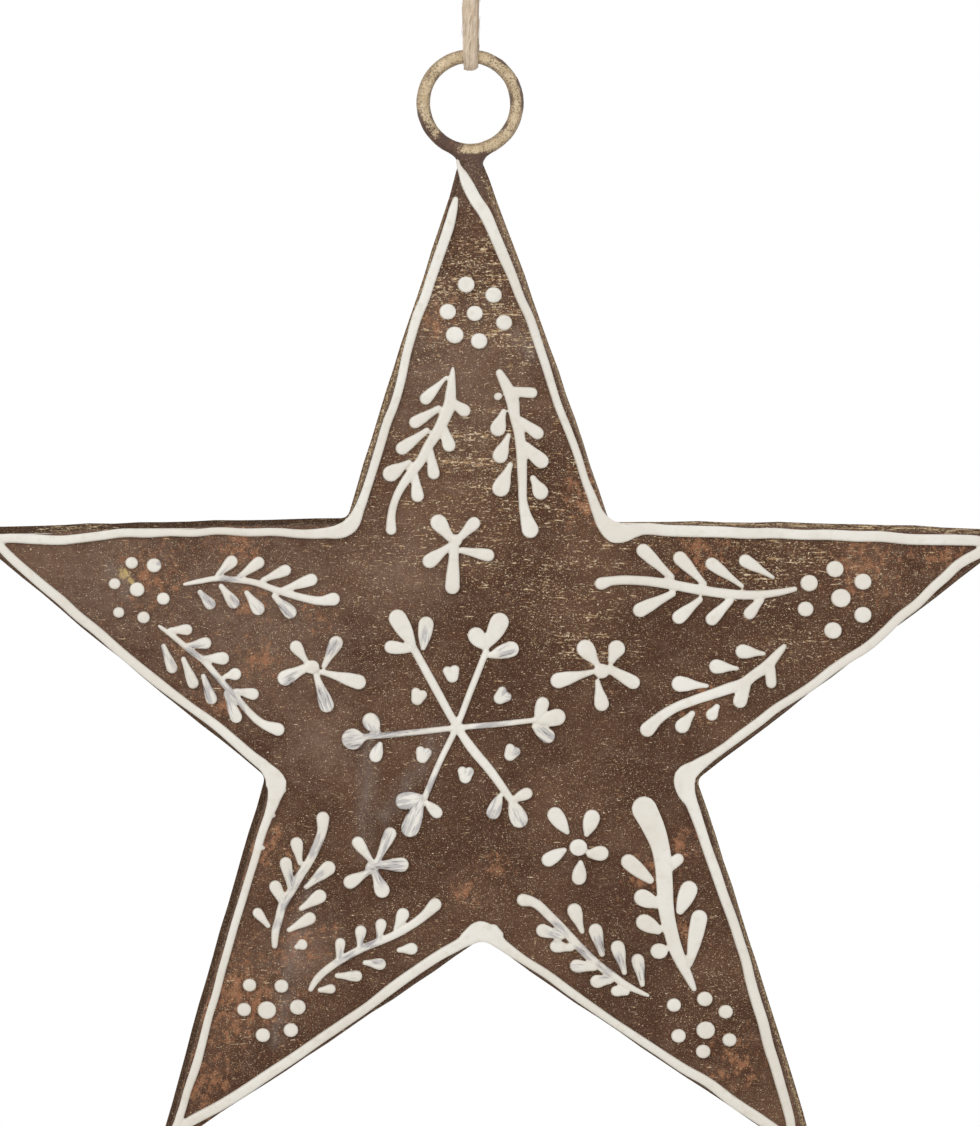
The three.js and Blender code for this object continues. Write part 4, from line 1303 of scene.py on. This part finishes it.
for place, (stem, leaves, worn) in sprigs.items():
    swell = DROP_SWELL if place == "lower_right_upright" else PIN_SWELL
    finish_enamel(pipe_enamel(f"enamel_sprig_{place}", [stem] + petals(leaves, swell), smooth=(0,)),
                  f"sprig_{place}", worn)


# Enamel dots
# Seven dots near each tip, squeezed out singly, and six small hearts between the snowflake's
# arms, each dragged into a notch as the tube was lifted.
tip_dots = [
    (466, 284.5, 8.2), (493.4, 295, 8), (447.6, 311.7, 8), (474.6, 313.4, 7.8), (503.9, 322.6, 7.8),
    (454.5, 335, 8.6), (479, 341, 8), (131.6, 562.8, 6), (154, 565.3, 7.1), (114.6, 583.7, 5.6),
    (137, 589.4, 7.2), (163.2, 598.6, 6.2), (118.7, 612.4, 5.4), (143.5, 617.4, 6),
    (834.8, 569, 8.4), (862.7, 581.6, 8.3), (809, 583, 8.4), (840.7, 598, 9.5), (805.4, 609, 7.6),
    (862.7, 614.8, 8.3), (832.7, 630.4, 8.5), (249.5, 985, 6.5), (281.4, 986, 6.7),
    (244, 1009.4, 6.8), (266.8, 1010, 9), (297.7, 1007, 7.7), (262.8, 1035, 7), (290.8, 1030, 7),
    (673.8, 1005, 6.8), (704.6, 998.8, 7.5), (725.5, 1011.6, 7), (705.5, 1030, 9),
    (678.4, 1035.7, 7), (729.3, 1039.7, 6.8), (703, 1051.3, 7),
]
# Centre and reach of each heart, and which way its notch opens, in degrees clockwise from up.
hearts = [
    (451.6, 673.8, 9.4, -10), (418, 696.6, 9.2, 20), (501.8, 696.2, 9.4, 50), (422.9, 754.8, 9, 15),
    (511.3, 752.7, 9, 30), (465.4, 774.7, 9.2, 5),
]
worn_dots = [(431, 750, 9), (509, 694, 10), (470, 772, 7), (516, 750, 8), (160, 566, 6)]
# Shares of a heart's reach: how far out its lobes and its foot lie, and how wide they are.
LOBE_OUT = 0.55
LOBE_SIZE = 0.5
LOBE_TURN = math.radians(46)
FOOT_OUT = 0.3
FOOT_SIZE = 0.66


def heart(x, y, reach, notch):
    """Two strokes that part on either side of a notch."""
    toward = math.radians(notch)
    foot = (x - FOOT_OUT * reach * math.sin(toward), y + FOOT_OUT * reach * math.cos(toward),
            reach * FOOT_SIZE)
    lobes = []
    for side in (-1, 1):
        turn = toward + side * LOBE_TURN
        lobes.append([(x + LOBE_OUT * reach * math.sin(turn), y - LOBE_OUT * reach * math.cos(turn),
                       reach * LOBE_SIZE), foot])
    return lobes


heart_strokes = [stroke for one in hearts for stroke in heart(*one)]
finish_enamel(pipe_enamel("enamel_dots", dots(tip_dots) + heart_strokes), worn_places=worn_dots)


# Studio
# A pale floor below the hanging star, a white surround, and two broad soft lamps: the main one
# from the upper left, a weaker one from the right.
FLOOR_HEIGHT = -260 * MM
FLOOR_RADIUS = 300 * MM
SURROUND_LIGHT = 0.62
# Where each lamp hangs and how wide it is, in metres, and its power in watts.
LAMPS = [((-0.75, -1.0, 0.55), 0.7, 7.0), ((0.9, -1.1, 0.1), 0.9, 2.2)]
floor_pale = (240, 239, 236)

clear_selection()
bpy.ops.mesh.primitive_circle_add(vertices=96, radius=FLOOR_RADIUS, fill_type="NGON",
                                  location=(0, 0, FLOOR_HEIGHT))
floor = bpy.context.object
floor.name = "studio_floor"
floor.data.materials.append(
    new_material("floor_paint", Roughness=0.8, Base_Color=paint(floor_pale))[0])

for spot, width, power in LAMPS:
    bpy.ops.object.light_add(type="AREA", location=spot)
    lamp = bpy.context.object
    lamp.data.size = width
    lamp.data.energy = power
    lamp.rotation_euler = (Vector(spot) - VIEW_TARGET).to_track_quat("Z", "Y").to_euler()

# What the camera sees of the surround, straight on or mirrored, is white; its light is weaker.
world = bpy.data.worlds.new("surround")
bpy.context.scene.world = world
world.use_nodes = True
seen = highest(add_node(world.node_tree, "ShaderNodeLightPath", output=f"Is {ray} Ray")
               for ray in ("Camera", "Glossy", "Transmission"))
feed(world.node_tree.nodes["Background"], {
    "Color": (1, 1, 1, 1), "Strength": seen * (1 - SURROUND_LIGHT) + SURROUND_LIGHT,
})
bpy.context.scene.view_settings.view_transform = "Standard"
